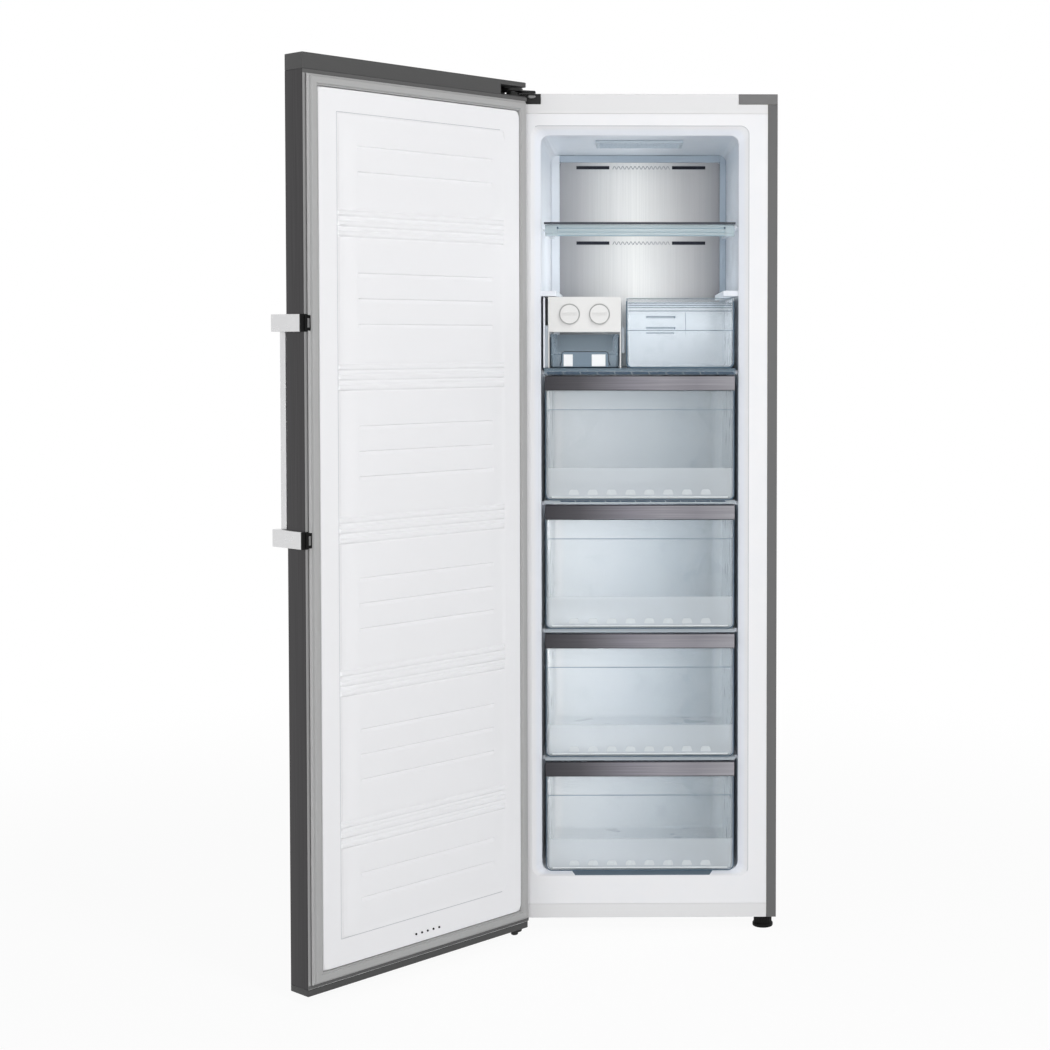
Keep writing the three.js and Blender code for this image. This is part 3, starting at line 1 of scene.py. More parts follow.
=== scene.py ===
"""The looks of an upright freezer with its door open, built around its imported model.

The scene is in metres, Z up. Pieces are drawn in millimetres, the door's as it stands closed, and finished()
brings them to their place.
"""

import json
import math

import bmesh
import bpy
from mathutils import Matrix, Vector


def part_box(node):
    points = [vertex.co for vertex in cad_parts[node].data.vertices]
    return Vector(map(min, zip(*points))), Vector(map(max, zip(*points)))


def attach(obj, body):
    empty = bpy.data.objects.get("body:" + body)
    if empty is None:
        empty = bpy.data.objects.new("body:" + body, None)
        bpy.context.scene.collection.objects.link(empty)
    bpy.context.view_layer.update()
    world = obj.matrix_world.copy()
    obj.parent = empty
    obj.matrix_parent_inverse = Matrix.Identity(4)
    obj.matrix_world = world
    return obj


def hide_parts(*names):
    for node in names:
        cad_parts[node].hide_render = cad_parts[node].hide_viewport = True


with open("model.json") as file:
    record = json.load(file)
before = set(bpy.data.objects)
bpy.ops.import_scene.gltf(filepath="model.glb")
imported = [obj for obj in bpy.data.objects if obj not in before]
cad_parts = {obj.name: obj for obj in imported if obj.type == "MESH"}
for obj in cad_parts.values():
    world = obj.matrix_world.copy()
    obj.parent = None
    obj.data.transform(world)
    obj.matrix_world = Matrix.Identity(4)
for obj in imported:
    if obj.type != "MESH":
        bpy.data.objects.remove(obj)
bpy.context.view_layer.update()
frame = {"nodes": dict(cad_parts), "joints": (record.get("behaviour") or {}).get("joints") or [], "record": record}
NODES = frame["nodes"]
BODY_OF = {node: body for body, members in frame["record"]["behaviour"]["bodies"].items() for node in members}

MM = 0.001
WELD = 0.001  # triangles of one solid share their corners closer than this, in millimetres
FLAT = math.radians(1)  # triangles that lie in one face
CREASE = math.radians(32)  # edges sharper than this stay crisp
SHALLOW = math.radians(7)  # the same, where flat fields carry low relief
FIT = 0.3  # the gap between neighbours, in millimetres

# ---------------------------------------------------------------- places taken from the frame

DOOR_HINGE = next(joint for joint in frame["joints"] if joint["name"] == "door_hinge")
HINGE = Vector(DOOR_HINGE["pos_m"])
DOOR_OPEN = math.radians(-DOOR_HINGE["range_deg"][0])
OPENED = Matrix.Translation(HINGE) @ Matrix.Rotation(-DOOR_OPEN, 4, "Z") @ Matrix.Translation(-HINGE)


def placing(node):
    """Brings what is drawn beside a node to its place; a door's node opens with the door, as at rest."""
    return (OPENED if BODY_OF[node] == "door" else Matrix()) @ Matrix.Scale(MM, 4)


def box(node):
    """A node's lowest and highest corner, as it is drawn."""
    drawn = placing(node).inverted()
    corners = [drawn @ vertex.co for vertex in NODES[node].data.vertices]
    return [Vector(pick(corner[axis] for corner in corners) for axis in range(3)) for pick in (min, max)]


FRONT = box("left_side_panel")[0].y
MIDDLE = (box("left_side_panel")[0].x + box("right_side_panel")[1].x) / 2

# ---------------------------------------------------------------- camera, light and floor

CAMERA_AT = (0.1841, -4.1494, 1.2886)
CAMERA_TURN = math.radians(0.724)  # towards +X
CAMERA_DOWN = math.radians(2.07)
LENS = 64.68  # on a 36 mm sensor
SHIFT = (-0.12, -0.11)
BACKDROP = "#ffffff"
WORLD_LIGHT = 0.15  # what the studio's white walls add
STUDIO_LAMPS = [  # name, place, aim, size and power
    ("high_right_light", (2.3, -3.1, 4.6), (0.1, 0, 0.95), (1.2, 1.2), 86),
    ("low_right_light", (2.6, -3.5, 1.3), (0.1, 0, 0.95), (1.2, 1.2), 6),
    ("front_light", (0.2, -5.2, 1.3), (0.2, 0, 0.9), (1.6, 2.4), 104),
    ("left_light", (-3.4, -3.2, 2.2), (0, 0, 0.9), (2.2, 2.2), 18),
    ("back_light", (0.5, 4.5, 3.0), (0, 0, 1.0), (3.0, 3.0), 60),
]


def new_object(name, data):
    made = bpy.data.objects.new(name, data)
    bpy.context.scene.collection.objects.link(made)
    return made


def make_camera():
    data = bpy.data.cameras.new("camera")
    data.lens = LENS
    data.shift_x, data.shift_y = SHIFT
    data.clip_end = 100
    camera = new_object("camera", data)
    camera.location = CAMERA_AT
    camera.rotation_euler = (math.pi / 2 - CAMERA_DOWN, 0, -CAMERA_TURN)
    bpy.context.scene.camera = camera


def soft_box(name, place, aim, size, power, spread=180):
    """A rectangular lamp, turned from its place to its aim, that is not seen itself."""
    data = bpy.data.lights.new(name, "AREA")
    data.spread = math.radians(spread)
    data.shape = "RECTANGLE"
    data.size, data.size_y = size
    data.energy = power
    lamp = new_object(name, data)
    lamp.visible_glossy = False
    lamp.visible_camera = False
    lamp.location = place
    lamp.rotation_euler = (Vector(aim) - Vector(place)).to_track_quat("-Z", "Y").to_euler()


def inner_lamps():
    """The cold space's own lamp, and fills for the light that clear plastic passes on."""
    low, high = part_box("lamp_lens")
    lens = (low + high) / 2 - Vector((0, 0, 0.014))
    soft_box("cold_space_lamp", lens, lens - Vector((0, 0, 1)), (high.x - low.x, 0.1), 0.15)
    # The open upper compartments get theirs from their right wall, which leaves that wall in shade.
    wall = Vector((MIDDLE * MM + 0.195, FRONT * MM + 0.25, 1.45))
    soft_box("compartment_fill", wall, wall - Vector((1, 0, 0)), (0.3, 0.3), 0.8, 120)
    # Each drawer has one behind its strip, and so have the bin and the small drawer.
    for number, power in enumerate((0.22, 0.44, 0.46, 0.26), 1):
        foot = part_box(f"drawer_{number}_trim")[0].z - 0.012
        strip = Vector((MIDDLE * MM - 0.09, FRONT * MM + 0.04, foot))
        soft_box(f"drawer_fill_{number}", strip, strip + Vector((0, 1, -0.25)), (0.18, 0.012), power, 150)
    for node, power in (("ice_bin", 0.04), ("small_drawer", 0.05)):
        low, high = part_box(node)
        lip = Vector(((low.x + high.x) / 2, low.y + 0.014, high.z - 0.006))
        soft_box(node + "_fill", lip, lip + Vector((0, 1, -0.3)), (0.08, 0.012), power, 150)


def linear(code):
    """An sRGB colour written as #rrggbb, in the linear values that a shader takes."""
    parts = [int(code[i:i + 2], 16) / 255 for i in (1, 3, 5)]
    return tuple(p / 12.92 if p <= 0.04045 else ((p + 0.055) / 1.055) ** 2.4 for p in parts) + (1.0,)


def add(tree, kind, links=None, **settings):
    """A node with its settings; links gives each input a value, or the node or output it is fed from."""
    node = tree.nodes.new("ShaderNode" + kind)
    for name, value in settings.items():
        setattr(node, name, value)
    for name, value in (links or {}).items():
        if isinstance(value, bpy.types.Node):
            value = value.outputs[0]
        if isinstance(value, bpy.types.NodeSocket):
            tree.links.new(value, node.inputs[name])
        else:
            node.inputs[name].default_value = value
    return node


def bare_tree(owner):
    """The emptied node tree of a new world or material."""
    owner.use_nodes = True
    owner.node_tree.nodes.clear()
    return owner.node_tree


def seen_directly(tree):
    """1 for what the camera, a reflection or clear plastic looks at, 0 for light on a surface."""
    path = add(tree, "LightPath").outputs
    mirrored = add(tree, "Math", {0: path["Is Camera Ray"], 1: path["Is Glossy Ray"]}, operation="MAXIMUM")
    through = add(tree, "Math", {0: mirrored, 1: path["Is Transmission Ray"]}, operation="MAXIMUM")
    return through.outputs[0]


def make_world():
    """White where it is looked at, and a faint light on everything."""
    world = bpy.data.worlds.new("white studio")
    bpy.context.scene.world = world
    tree = bare_tree(world)
    dim = add(tree, "Background", {"Color": linear(BACKDROP), "Strength": WORLD_LIGHT})
    white = add(tree, "Background", {"Color": linear(BACKDROP), "Strength": 1.0})
    shown = add(tree, "MixShader", {0: seen_directly(tree), 1: dim, 2: white})
    add(tree, "OutputWorld", {"Surface": shown})


def make_floor():
    """A pale floor that takes the shadows and turns into the backdrop away from the freezer."""
    floor = bpy.data.materials.new("white studio floor")
    tree = bare_tree(floor)
    paint = add(tree, "BsdfDiffuse", {"Color": linear("#f4f4f4")})
    glow = add(tree, "Emission", {"Color": linear(BACKDROP), "Strength": 1.0})
    away = add(tree, "Mapping", {"Vector": add(tree, "TexCoord").outputs["Object"], "Scale": (1, 1, 0)})
    reach = add(tree, "VectorMath", {0: away}, operation="LENGTH").outputs["Value"]
    blank = add(tree, "MapRange", {
        "Value": reach, "From Min": 0.9, "From Max": 3.0, "To Min": 0.94, "To Max": 1.0,
    }, interpolation_type="SMOOTHSTEP").outputs[0]
    share = add(tree, "Math", {0: seen_directly(tree), 1: blank}, operation="MULTIPLY")
    shown = add(tree, "MixShader", {0: share, 1: paint, 2: glow})
    add(tree, "OutputMaterial", {"Surface": shown})
    bm = bmesh.new()
    bmesh.ops.create_grid(bm, x_segments=1, y_segments=1, size=30)
    mesh = bpy.data.meshes.new("floor")
    bm.to_mesh(mesh)
    bm.free()
    mesh.materials.append(floor)
    new_object("floor", mesh)


def make_studio():
    make_world()
    make_floor()
    for lamp in STUDIO_LAMPS:
        soft_box(*lamp)
    inner_lamps()
    bpy.context.scene.view_settings.view_transform = "Standard"


# ---------------------------------------------------------------- finishes


def surface(name, base, roughness, **sockets):
    """A new material on a Principled shader: the material, its tree and the shader."""
    made = bpy.data.materials.new(name)
    tree = bare_tree(made)
    shader = add(tree, "BsdfPrincipled", {"Base Color": linear(base), "Roughness": roughness, **sockets})
    add(tree, "OutputMaterial", {"Surface": shader})
    made.diffuse_color = linear(base)
    return made, tree, shader


def location(tree, on_door=False):
    """Where a point lies, in metres; on the door, as the door stands closed."""
    here = add(tree, "TexCoord").outputs["Object"]
    if not on_door:
        return here
    turned = add(tree, "Mapping", {
        "Vector": here, "Rotation": (0, 0, DOOR_OPEN),
        "Location": HINGE - Matrix.Rotation(DOOR_OPEN, 3, "Z") @ HINGE,
    })
    return turned.outputs[0]


def uneven(tree, shader, here, size, sheen, depth, strength=0.35, detail=2.0):
    """A skin's unevenness: grains of size along x, y and z and of that depth, both in millimetres, over which
    the roughness runs through the sheen's range. Gives the pattern."""
    scaled = add(tree, "Mapping", {"Vector": here, "Scale": [1 / (side * MM) for side in size]})
    noise = add(tree, "TexNoise", {"Vector": scaled, "Scale": 1.0, "Detail": detail})
    pattern = noise.outputs["Fac"]
    raised = add(tree, "Bump", {"Height": pattern, "Distance": depth * MM, "Strength": strength})
    tree.links.new(raised.outputs[0], shader.inputs["Normal"])
    gloss = add(tree, "MapRange", {
        "Value": pattern, "From Min": 0.3, "From Max": 0.7, "To Min": sheen[0], "To Max": sheen[1],
    })
    tree.links.new(gloss.outputs[0], shader.inputs["Roughness"])
    return pattern


def graded(tree, shader, value, ends, stops, pattern, streak, share):
    """Colours a shader through stops of (share, colour) as value runs between its ends; where the pattern is
    high, up to that share of the streak's colour lies over it."""
    way = add(tree, "MapRange", {"Value": value, "From Min": ends[0], "From Max": ends[1]})
    ramp = add(tree, "ValToRGB", {0: way})
    for _ in stops[2:]:
        ramp.color_ramp.elements.new(0.5)
    for element, (place, code) in zip(ramp.color_ramp.elements, stops):
        element.position = place
        element.color = linear(code)
    amount = add(tree, "MapRange", {"Value": pattern, "From Min": 0.3, "From Max": 0.7, "To Max": share})
    mixed = add(tree, "Mix", {0: amount, 6: ramp, 7: linear(streak)}, data_type="RGBA")
    tree.links.new(mixed.outputs[2], shader.inputs["Base Color"])


def shaded_across(node, stops, streak, share, skin, name, base, roughness, **sockets):
    """A surface as uneven as skin says, coloured through stops from a node's left side to its right one."""
    made, tree, shader = surface(name, base, roughness, **sockets)
    here = location(tree)
    pattern = uneven(tree, shader, here, *skin)
    low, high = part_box(node)
    across = add(tree, "SeparateXYZ", {0: here}).outputs["X"]
    graded(tree, shader, across, (low.x, high.x), stops, pattern, streak, share)
    return made


def brushed(name, dark, light, size, sheen=(0.26, 0.38), on_door=False):
    """Metal brushed one way: long thin scratches that part the light. size is a scratch in millimetres."""
    made, tree, shader = surface(name, light, sheen[0], Metallic=1.0)
    scratches = uneven(tree, shader, location(tree, on_door), size, sheen, 0.03, 0.5, 3.0)
    graded(tree, shader, scratches, (0.3, 0.7), [(0, dark), (1, light)], scratches, light, 0)
    return made


def moulded(name, base, roughness, size=6.0, depth=0.05, on_door=False, **sockets):
    """Moulded plastic or paint: an even colour on a skin with a faint orange peel of that size in mm."""
    made, tree, shader = surface(name, base, roughness, **sockets)
    uneven(tree, shader, location(tree, on_door), [size] * 3, (roughness - 0.04, roughness + 0.05), depth)
    return made


def crystal(words, tint, clear, edge):
    """Crystal polystyrene, injection moulded: clear face on, cloudier where the wall is seen along."""
    made, tree, shader = surface("crystal polystyrene, " + words, tint, 0.16, IOR=1.59)
    uneven(tree, shader, location(tree), [40, 40, 60], (0.12, 0.24), 0.3, 0.3, 1.0)
    facing = add(tree, "LayerWeight", {"Blend": 0.45}).outputs["Facing"]
    cloud = add(tree, "MapRange", {
        "Value": facing, "From Min": 0.05, "From Max": 0.85, "To Min": clear, "To Max": edge,
    })
    tree.links.new(cloud.outputs[0], shader.inputs["Alpha"])
    return made


def vacuum_formed_liner():
    """High-impact polystyrene drawn over a mould: white with a soft gloss. Its colour is painted a little greyer
    and bluer from the mouth's bevel back into the cavity: painted shade."""
    made, tree, shader = surface("vacuum-formed polystyrene, inner liner", "#f0f0f2", 0.32)
    here = location(tree)
    wave = uneven(tree, shader, here, [45, 45, 45], (0.28, 0.38), 0.25, 0.4, 1.0)
    depth = add(tree, "SeparateXYZ", {0: here}).outputs["Y"]
    # Painted shade: the stops darken the liner and turn it bluer with depth behind its flange.
    stops = [(0, "#eeeef0"), (0.006, "#eeeef0"), (0.02, "#ebeef5"), (0.12, "#e3e7ed"), (0.3, "#e3e8ee"),
             (1, "#e6eaef")]
    graded(tree, shader, depth, (FRONT * MM, FRONT * MM + 0.4), stops, wave, "#e4eaf0", 0.15)
    return made


def tempered_glass():
    """Clear float glass: the ground front edge is dark, the face nearly invisible."""
    made, tree, shader = surface("tempered shelf glass", "#9fb4c0", 0.06, IOR=1.52)
    depth = add(tree, "SeparateXYZ", {0: location(tree)}).outputs["Y"]
    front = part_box("top_shelf_glass")[0].y
    edge = add(tree, "MapRange", {
        "Value": depth, "From Min": front + MM, "From Max": front + 6 * MM, "To Min": 1.0, "To Max": 0.0,
    }).outputs[0]
    shade = add(tree, "Mix", {0: edge, 6: linear("#a9bcc6"), 7: linear("#30353f")}, data_type="RGBA")
    tree.links.new(shade.outputs[2], shader.inputs["Base Color"])
    cover = add(tree, "MapRange", {"Value": edge, "To Min": 0.16, "To Max": 0.98})
    tree.links.new(cover.outputs[0], shader.inputs["Alpha"])
    return made


def zinc_sheet():
    """Hot-dip galvanised steel: a quilt of dull spangles about a centimetre across."""
    made, tree, shader = surface("galvanised steel", "#a9abab", 0.45, Metallic=1.0)
    quilt = add(tree, "TexVoronoi", {"Vector": location(tree), "Scale": 1 / (11 * MM)}).outputs["Color"]
    spangle = add(tree, "SeparateXYZ", {0: quilt}).outputs["X"]
    shade = add(tree, "Mix", {0: spangle, 6: linear("#9b9e9f"), 7: linear("#b6b9ba")}, data_type="RGBA")
    tree.links.new(shade.outputs[2], shader.inputs["Base Color"])
    gloss = add(tree, "MapRange", {"Value": spangle, "To Min": 0.38, "To Max": 0.52})
    tree.links.new(gloss.outputs[0], shader.inputs["Roughness"])
    return made


def duct_steel():
    """Stainless sheet with an upright brush. Its colour carries a painted highlight down its middle and painted
    shade at its sides. The scratches are drawn 1.6 mm apart, several times their real size, so that they show."""
    # Painted highlight and shade across the plate, from its left side to its right.
    stops = [(0, "#a0a0a3"), (0.1, "#afafb1"), (0.25, "#d5d5d4"), (0.38, "#edecea"), (0.48, "#f3f2ef"),
             (0.58, "#e4e3e1"), (0.78, "#c0bfbf"), (0.9, "#b1b0b1"), (1, "#97979a")]
    brush = ([1.6, 40, 260], (0.36, 0.46), 0.02, 0.4)
    return shaded_across("duct_plate", stops, "#8f9092", 0.12, brush,
                         "brushed stainless steel, duct cover", "#d8d6d4", 0.42, Metallic=0.5)


def anodised_strip():
    """Anodised aluminium strip, brushed along its length: dark bronze grey, with a painted reflection lightening
    it to the right.
    """
    # Painted reflection: dark at the left, lighter to the right.
    stops = [(0, "#4a494d"), (0.18, "#5f5e62"), (0.45, "#94929a"), (0.62, "#a4a2a9"), (0.8, "#9a989f"),
             (1, "#abaab0")]
    brush = ([160, 1.5, 1.4], (0.3, 0.42), 0.03, 0.5, 3.0)
    return shaded_across("drawer_1_trim", stops, "#3f3e43", 0.3, brush,
                         "anodised aluminium, drawer strip", "#7d797d", 0.36, Metallic=1.0)


def milky_wall():
    """Polystyrene with a little white in it: drawer sides and floor glow in the light from the front. Its colour
    is painted whitest at the left side and greyer towards the right of the back: painted light and shade."""
    # Painted light at the left side, painted shade darkening towards the right wall.
    stops = [(0, "#ffffff"), (0.04, "#ffffff"), (0.07, "#f2f6f9"), (0.35, "#e4eaf0"), (0.6, "#ccd6de"),
             (0.78, "#a0afba"), (0.92, "#748591"), (0.95, "#a9b7c1"), (1, "#c9d4dc")]
    wave = ([60, 60, 60], (0.26, 0.34), 0.04, 0.3, 1.0)
    return shaded_across("drawer_1_tub", stops, "#ffffff", 0.1, wave,
                         "polystyrene, milky drawer wall", "#eef4f8", 0.3, Alpha=0.93)


FINISH = {
    "liner": vacuum_formed_liner(),
    # The same sheet on the door: dead white, with the broad soft gloss of a formed skin.
    "door_liner": moulded("vacuum-formed polystyrene, door liner", "#f2f2f4", 0.42, 40, 0.15, True),
    # White rails: a fine even orange peel that dulls the highlights.
    "white_coat": moulded("powder-coated steel, white", "#e2e2e3", 0.38, 2.5, 0.04),
    # Cabinet sides: grey lacquer with metal flake, so a little of it mirrors.
    "grey_paint": moulded("painted steel, silver grey", "#666666", 0.4, 2.5, 0.05, Metallic=0.3),
    "zinc": zinc_sheet(),
    # Rigid foam: cream, matt and full of cells; only a cut would show it.
    "foam": moulded("polyurethane foam", "#d9cfae", 0.9, 4, 0.6),
    # Unpainted grey covers: a matt spark-eroded skin.
    "grey_plastic": moulded("moulded ABS, mid grey", "#727272", 0.45, 3),
    # Hinge arms: black electrocoat, smooth enough for a thin highlight.
    "black_steel": moulded("steel, black electrocoat", "#202020", 0.34, 2, 0.04, Metallic=0.4),
    # Pins, axles and screws: turned bright steel with fine turning marks.
    "pin_steel": brushed("turned steel", "#7c7c7c", "#9c9c9c", [0.8, 0.8, 0.8]),
    # Pipes: drawn copper, warm and slightly tarnished in patches.
    "copper": brushed("drawn copper pipe", "#a5684a", "#b87b5a", [3, 3, 3]),
    "duct": duct_steel(),
    # Evaporator fins: mill-finish aluminium, pale with upright roll marks.
    "fins": brushed("mill-finish aluminium", "#a9adb0", "#c4c7c9", [6, 6, 60]),
    # Feet, clips and bushes: nylon, near black and dull.
    "black_plastic": moulded("glass-filled nylon, black", "#060606", 0.6, 1.5, 0.08,
                             **{"Specular IOR Level": 0.2}),
    # The liner's back above and to the right of the duct: painted shade, blue grey.
    "liner_shade": moulded("vacuum-formed polystyrene, painted shade round the duct", "#aab6c1", 0.34, 45, 0.1),
    # Guides beside the ice maker: the same sheet in half shade.
    "guide_grey": moulded("polystyrene, shelf guide", "#b9c1c9", 0.35, 20, 0.02),
    # What lies behind a vent: foam, made near black as painted shade inside the duct.
    "vent_dark": moulded("polyethylene foam in the duct, black as painted shade", "#23252d", 0.85, 2, 0.1),
    # The duct's pierced strip: slots drawn as grey bars, their grey the painted shade inside the holes.
    "pierced": moulded("stainless steel, pierced slots", "#6f727a", 0.7, 2, 0.02),
    # Compressor shell: thick glossy enamel.
    "black_enamel": moulded("compressor enamel, black", "#1f2021", 0.3, 5, 0.12),
    # Lamp cover: frosted, a shade bluer than the ceiling round it.
    "lens": moulded("frosted polycarbonate lens", "#b8c3cc", 0.3, 5, 0.05),
    "glass": tempered_glass(),
    # Pale ends of the top shelf's rail.
    "rail_end": moulded("crystal polystyrene, rail end", "#c4d3da", 0.25, 20, 0.02, Alpha=0.5),
    # Beads that run along the rail: the plastic is thick there and takes a darker blue.
    "rail_bead": moulded("crystal polystyrene, bead", "#8aa2ae", 0.2, 20, 0.02),
    # Pockets under a shelf's lip: clear plastic over shade.
    "shadow_plastic": moulded("crystal polystyrene in shade, pocket", "#33475a", 0.25, 20, 0.02),
    # Slots in the small drawer's back: painted grey as the shaded wall seen through them.
    "slot_grey": moulded("crystal polystyrene in shade, slot", "#8b979f", 0.3, 20, 0.02),
    "tub_milky": milky_wall(),
    # Ribs on a drawer's floor, painted whiter than the floor as the highlight they catch.
    "tub_rib": moulded("polystyrene, drawer rib", "#f4f7f9", 0.2, 20, 0.02),
    # The small drawer's own walls, a little clearer.
    "small_milky": moulded("polystyrene, small drawer wall", "#e4e9ee", 0.28, 40, 0.04, Alpha=0.85),
    # The dark line that clear plastic shows where it is seen along its edge.
    "bin_edge": moulded("crystal polystyrene seen along its edge", "#232e3a", 0.2, 20, 0.02),
    # A drawer's silhouette: clear plastic seen along its thickness goes a deep grey blue.
    "edge_line": moulded("crystal polystyrene, moulded edge of a drawer", "#4c6374", 0.2, 20, 0.02),
    # The step across a drawer's front: a finer line of the same kind.
    "step_line": moulded("crystal polystyrene, step in a drawer's front", "#7b8c98", 0.2, 20, 0.02),
    # The rounded foot of the front: a pale bead, painted as the highlight along it.
    "foot_bead": moulded("crystal polystyrene, rounded foot", "#eef3f6", 0.2, 20, 0.02, Alpha=0.8),
    # Pads in the foot, painted near white as the bright spots of the floor's ribs: painted highlight.
    "foot_pad": moulded("crystal polystyrene, pad in a drawer's foot", "#f6fafd", 0.25, 20, 0.02, Alpha=0.4),
    # The strip's folded edges: dark lines of painted shade, where the folds turn away from the light.
    "strip_edge": moulded("anodised aluminium, painted shade of a folded edge", "#3a393d", 0.4, 3, 0.02, Metallic=0.5),
    # White pads behind the bin's tab.
    "white_gloss": moulded("polystyrene, white tab pad", "#f2f4f6", 0.15, 20, 0.02),
    # Ice trays: soft translucent polypropylene.
    "tray_plastic": moulded("polypropylene, ice tray", "#dfe6ea", 0.35, 20, 0.03, Alpha=0.9),
    # The groove round a knob, in shade.
    "ring_grey": moulded("moulded ABS, ring in shade", "#bcbcbc", 0.5, 4),
    "trim": anodised_strip(),
    # Ice maker: white with a hint of warmth, satin.
    "white_abs": moulded("moulded ABS, white", "#e6e6e5", 0.4, 4),
    # Painted shade: the grey line where a white liner's flange turns into its field or mouth.
    "mouth_grey": moulded("polystyrene, painted shade at a crease", "#c4c6ca", 0.4, 10, 0.02),
    # The sill's finger recess, in shade.
    "sill_shade": moulded("polystyrene in shade, finger recess", "#5f6f7c", 0.35, 10, 0.02),
    # Door skin: dark stainless, brushed upright. The scratches are coarser than real, so that they show.
    "door_steel": brushed("dark stainless door skin, brushed", "#424142", "#4e4d4e", [1.2, 1.2, 220],
                          (0.3, 0.42), True),
    # The same sheet where it is folded over the inner edge, painted lighter as the reflection it catches.
    "door_fold_reflection": brushed("dark stainless door skin, fold", "#a0a0a0", "#adadad", [1.2, 1.2, 220],
                           (0.4, 0.5), True),
    # The lip of the door's caps beside the seal.
    "cap_lip": moulded("moulded ABS, grey lip of the door caps", "#565656", 0.45, 2, 0.05, True),
    # Top cap: dark grey, lightly textured.
    "door_cap": moulded("moulded ABS, dark grey", "#464646", 0.45, 2, 0.06, True),
    # Bottom cap: the same texture in charcoal, a little glossier.
    "door_foot_cap": moulded("moulded ABS, charcoal", "#3c3c3c", 0.42, 2, 0.06, True),
    # Door seal: soft grey vinyl, matt.
    "gasket": moulded("plasticised PVC door seal", "#adadad", 0.55, 6, 0.08, True),
    # Handle: satin plating, pale and even.
    "chrome": moulded("satin chrome-plated zinc casting", "#dededf", 0.3, 20, 0.004, True, Metallic=0.85),
    # Lips of the glass shelf and of a drawer shelf: thick plastic, blue where it lies under glass.
    "shelf_plastic": crystal("edge of the glass shelf", "#7d92a2", 0.55, 0.9),
    "lip_pale": crystal("edge of a drawer shelf", "#c6d0d8", 0.6, 0.95),
    # The top shelf's rail: half clear, a pale blue green.
    "rail_clear": crystal("shelf rail", "#c3d5db", 0.5, 0.95),
    # A drawer's front, and its foot, painted paler and cloudier as the lit floor seen through it: painted light.
    "tub_clear": crystal("drawer front", "#dfe8ee", 0.22, 0.55),
    "tub_foot": crystal("drawer front, frosted foot", "#e4ebf0", 0.4, 0.7),
    # The small drawer's front, the clearest wall, and the darker rails along its top.
    "small_clear": crystal("small drawer front", "#dbe5eb", 0.16, 0.5),
    "small_rail": crystal("small drawer rail", "#6c8593", 0.6, 0.95),
    # The ice bin: clouded walls, a smoky front and a thick blue tab.
    "bin_milky": crystal("ice bin walls", "#d0dfea", 0.7, 0.95),
    "bin_clear": crystal("ice bin front", "#8fa0ae", 0.4, 0.9),
    "bin_tab": crystal("ice bin tab", "#7d91a2", 0.75, 0.95),
}

# ---------------------------------------------------------------- shapes


def between(bm, low, high):
    """A box from one corner to the other; gives its corners."""
    made = bmesh.ops.create_cube(bm, size=1.0)["verts"]
    bmesh.ops.scale(bm, vec=Vector(high) - Vector(low), verts=made)
    bmesh.ops.translate(bm, vec=(Vector(low) + Vector(high)) / 2, verts=made)
    return made


def sheet(bm, wide, tall):
    """A flat rectangle round the origin that faces up."""
    bmesh.ops.create_grid(bm, x_segments=1, y_segments=1, size=0.5)
    bmesh.ops.scale(bm, vec=(wide, tall, 1), verts=bm.verts)


def resized(bm, factors, centre, verts):
    bmesh.ops.scale(bm, vec=factors, space=Matrix.Translation(-Vector(centre)), verts=verts)


def rounded(bm, parts, radius, segments=4, affect="EDGES"):
    bmesh.ops.bevel(
        bm, geom=parts, offset=radius, offset_type="OFFSET", segments=segments, profile=0.5,
        affect=affect, material=-1, clamp_overlap=True,
    )


def along(bm, axis, share=0.99):
    """The edges that run along an axis."""
    return [e for e in bm.edges if abs((e.verts[1].co - e.verts[0].co).normalized()[axis]) > share]


def cut(bm, place, axis):
    """Cuts the faces by a plane across an axis."""
    way = Vector(Matrix.Identity(3)[axis])
    parts = bm.verts[:] + bm.edges[:] + bm.faces[:]
    bmesh.ops.bisect_plane(bm, geom=parts, dist=WELD, plane_co=way * place, plane_no=way)


def delete_faces(bm, chosen):
    """Deletes the faces chosen by their centre and normal."""
    gone = [face for face in bm.faces if chosen(face.calc_center_median(), face.normal)]
    bmesh.ops.delete(bm, geom=gone, context="FACES")


def mark(bm, chosen):
    """Gives the second finish to the faces chosen by their centre and normal."""
    for face in bm.faces:
        if chosen(face.calc_center_median(), face.normal):
            face.material_index = 1


def front_facing(_, normal):
    return normal.y < -0.6


def outward(bm):
    """Turns every face outwards, also on a shell that is open at one side."""
    bmesh.ops.recalc_face_normals(bm, faces=bm.faces)
    centre = sum((v.co for v in bm.verts), Vector()) / len(bm.verts)
    if sum((f.calc_center_median() - centre).dot(f.normal) * f.calc_area() for f in bm.faces) < 0:
        bmesh.ops.reverse_faces(bm, faces=bm.faces)


def lathe(bm, profile, centre, axis, steps):
    """Turns a profile of (radius, height) round an axis through centre."""
    axis = Vector(axis)
    side = Vector((1, 0, 0)) if abs(axis.x) < 0.5 else Vector((0, 1, 0))
    centre = Vector(centre)
    points = [bm.verts.new(centre + side * radius + axis * height) for radius, height in profile]
    lines = [bm.edges.new(pair) for pair in zip(points, points[1:])]
    before = set(bm.verts) - set(points)
    bmesh.ops.spin(
        bm, geom=points + lines, cent=centre, axis=axis, angle=2 * math.pi, steps=steps,
        use_merge=True, use_duplicate=False,
    )
    bmesh.ops.remove_doubles(bm, verts=[v for v in bm.verts if v not in before], dist=WELD)
    bmesh.ops.recalc_face_normals(bm, faces=bm.faces)


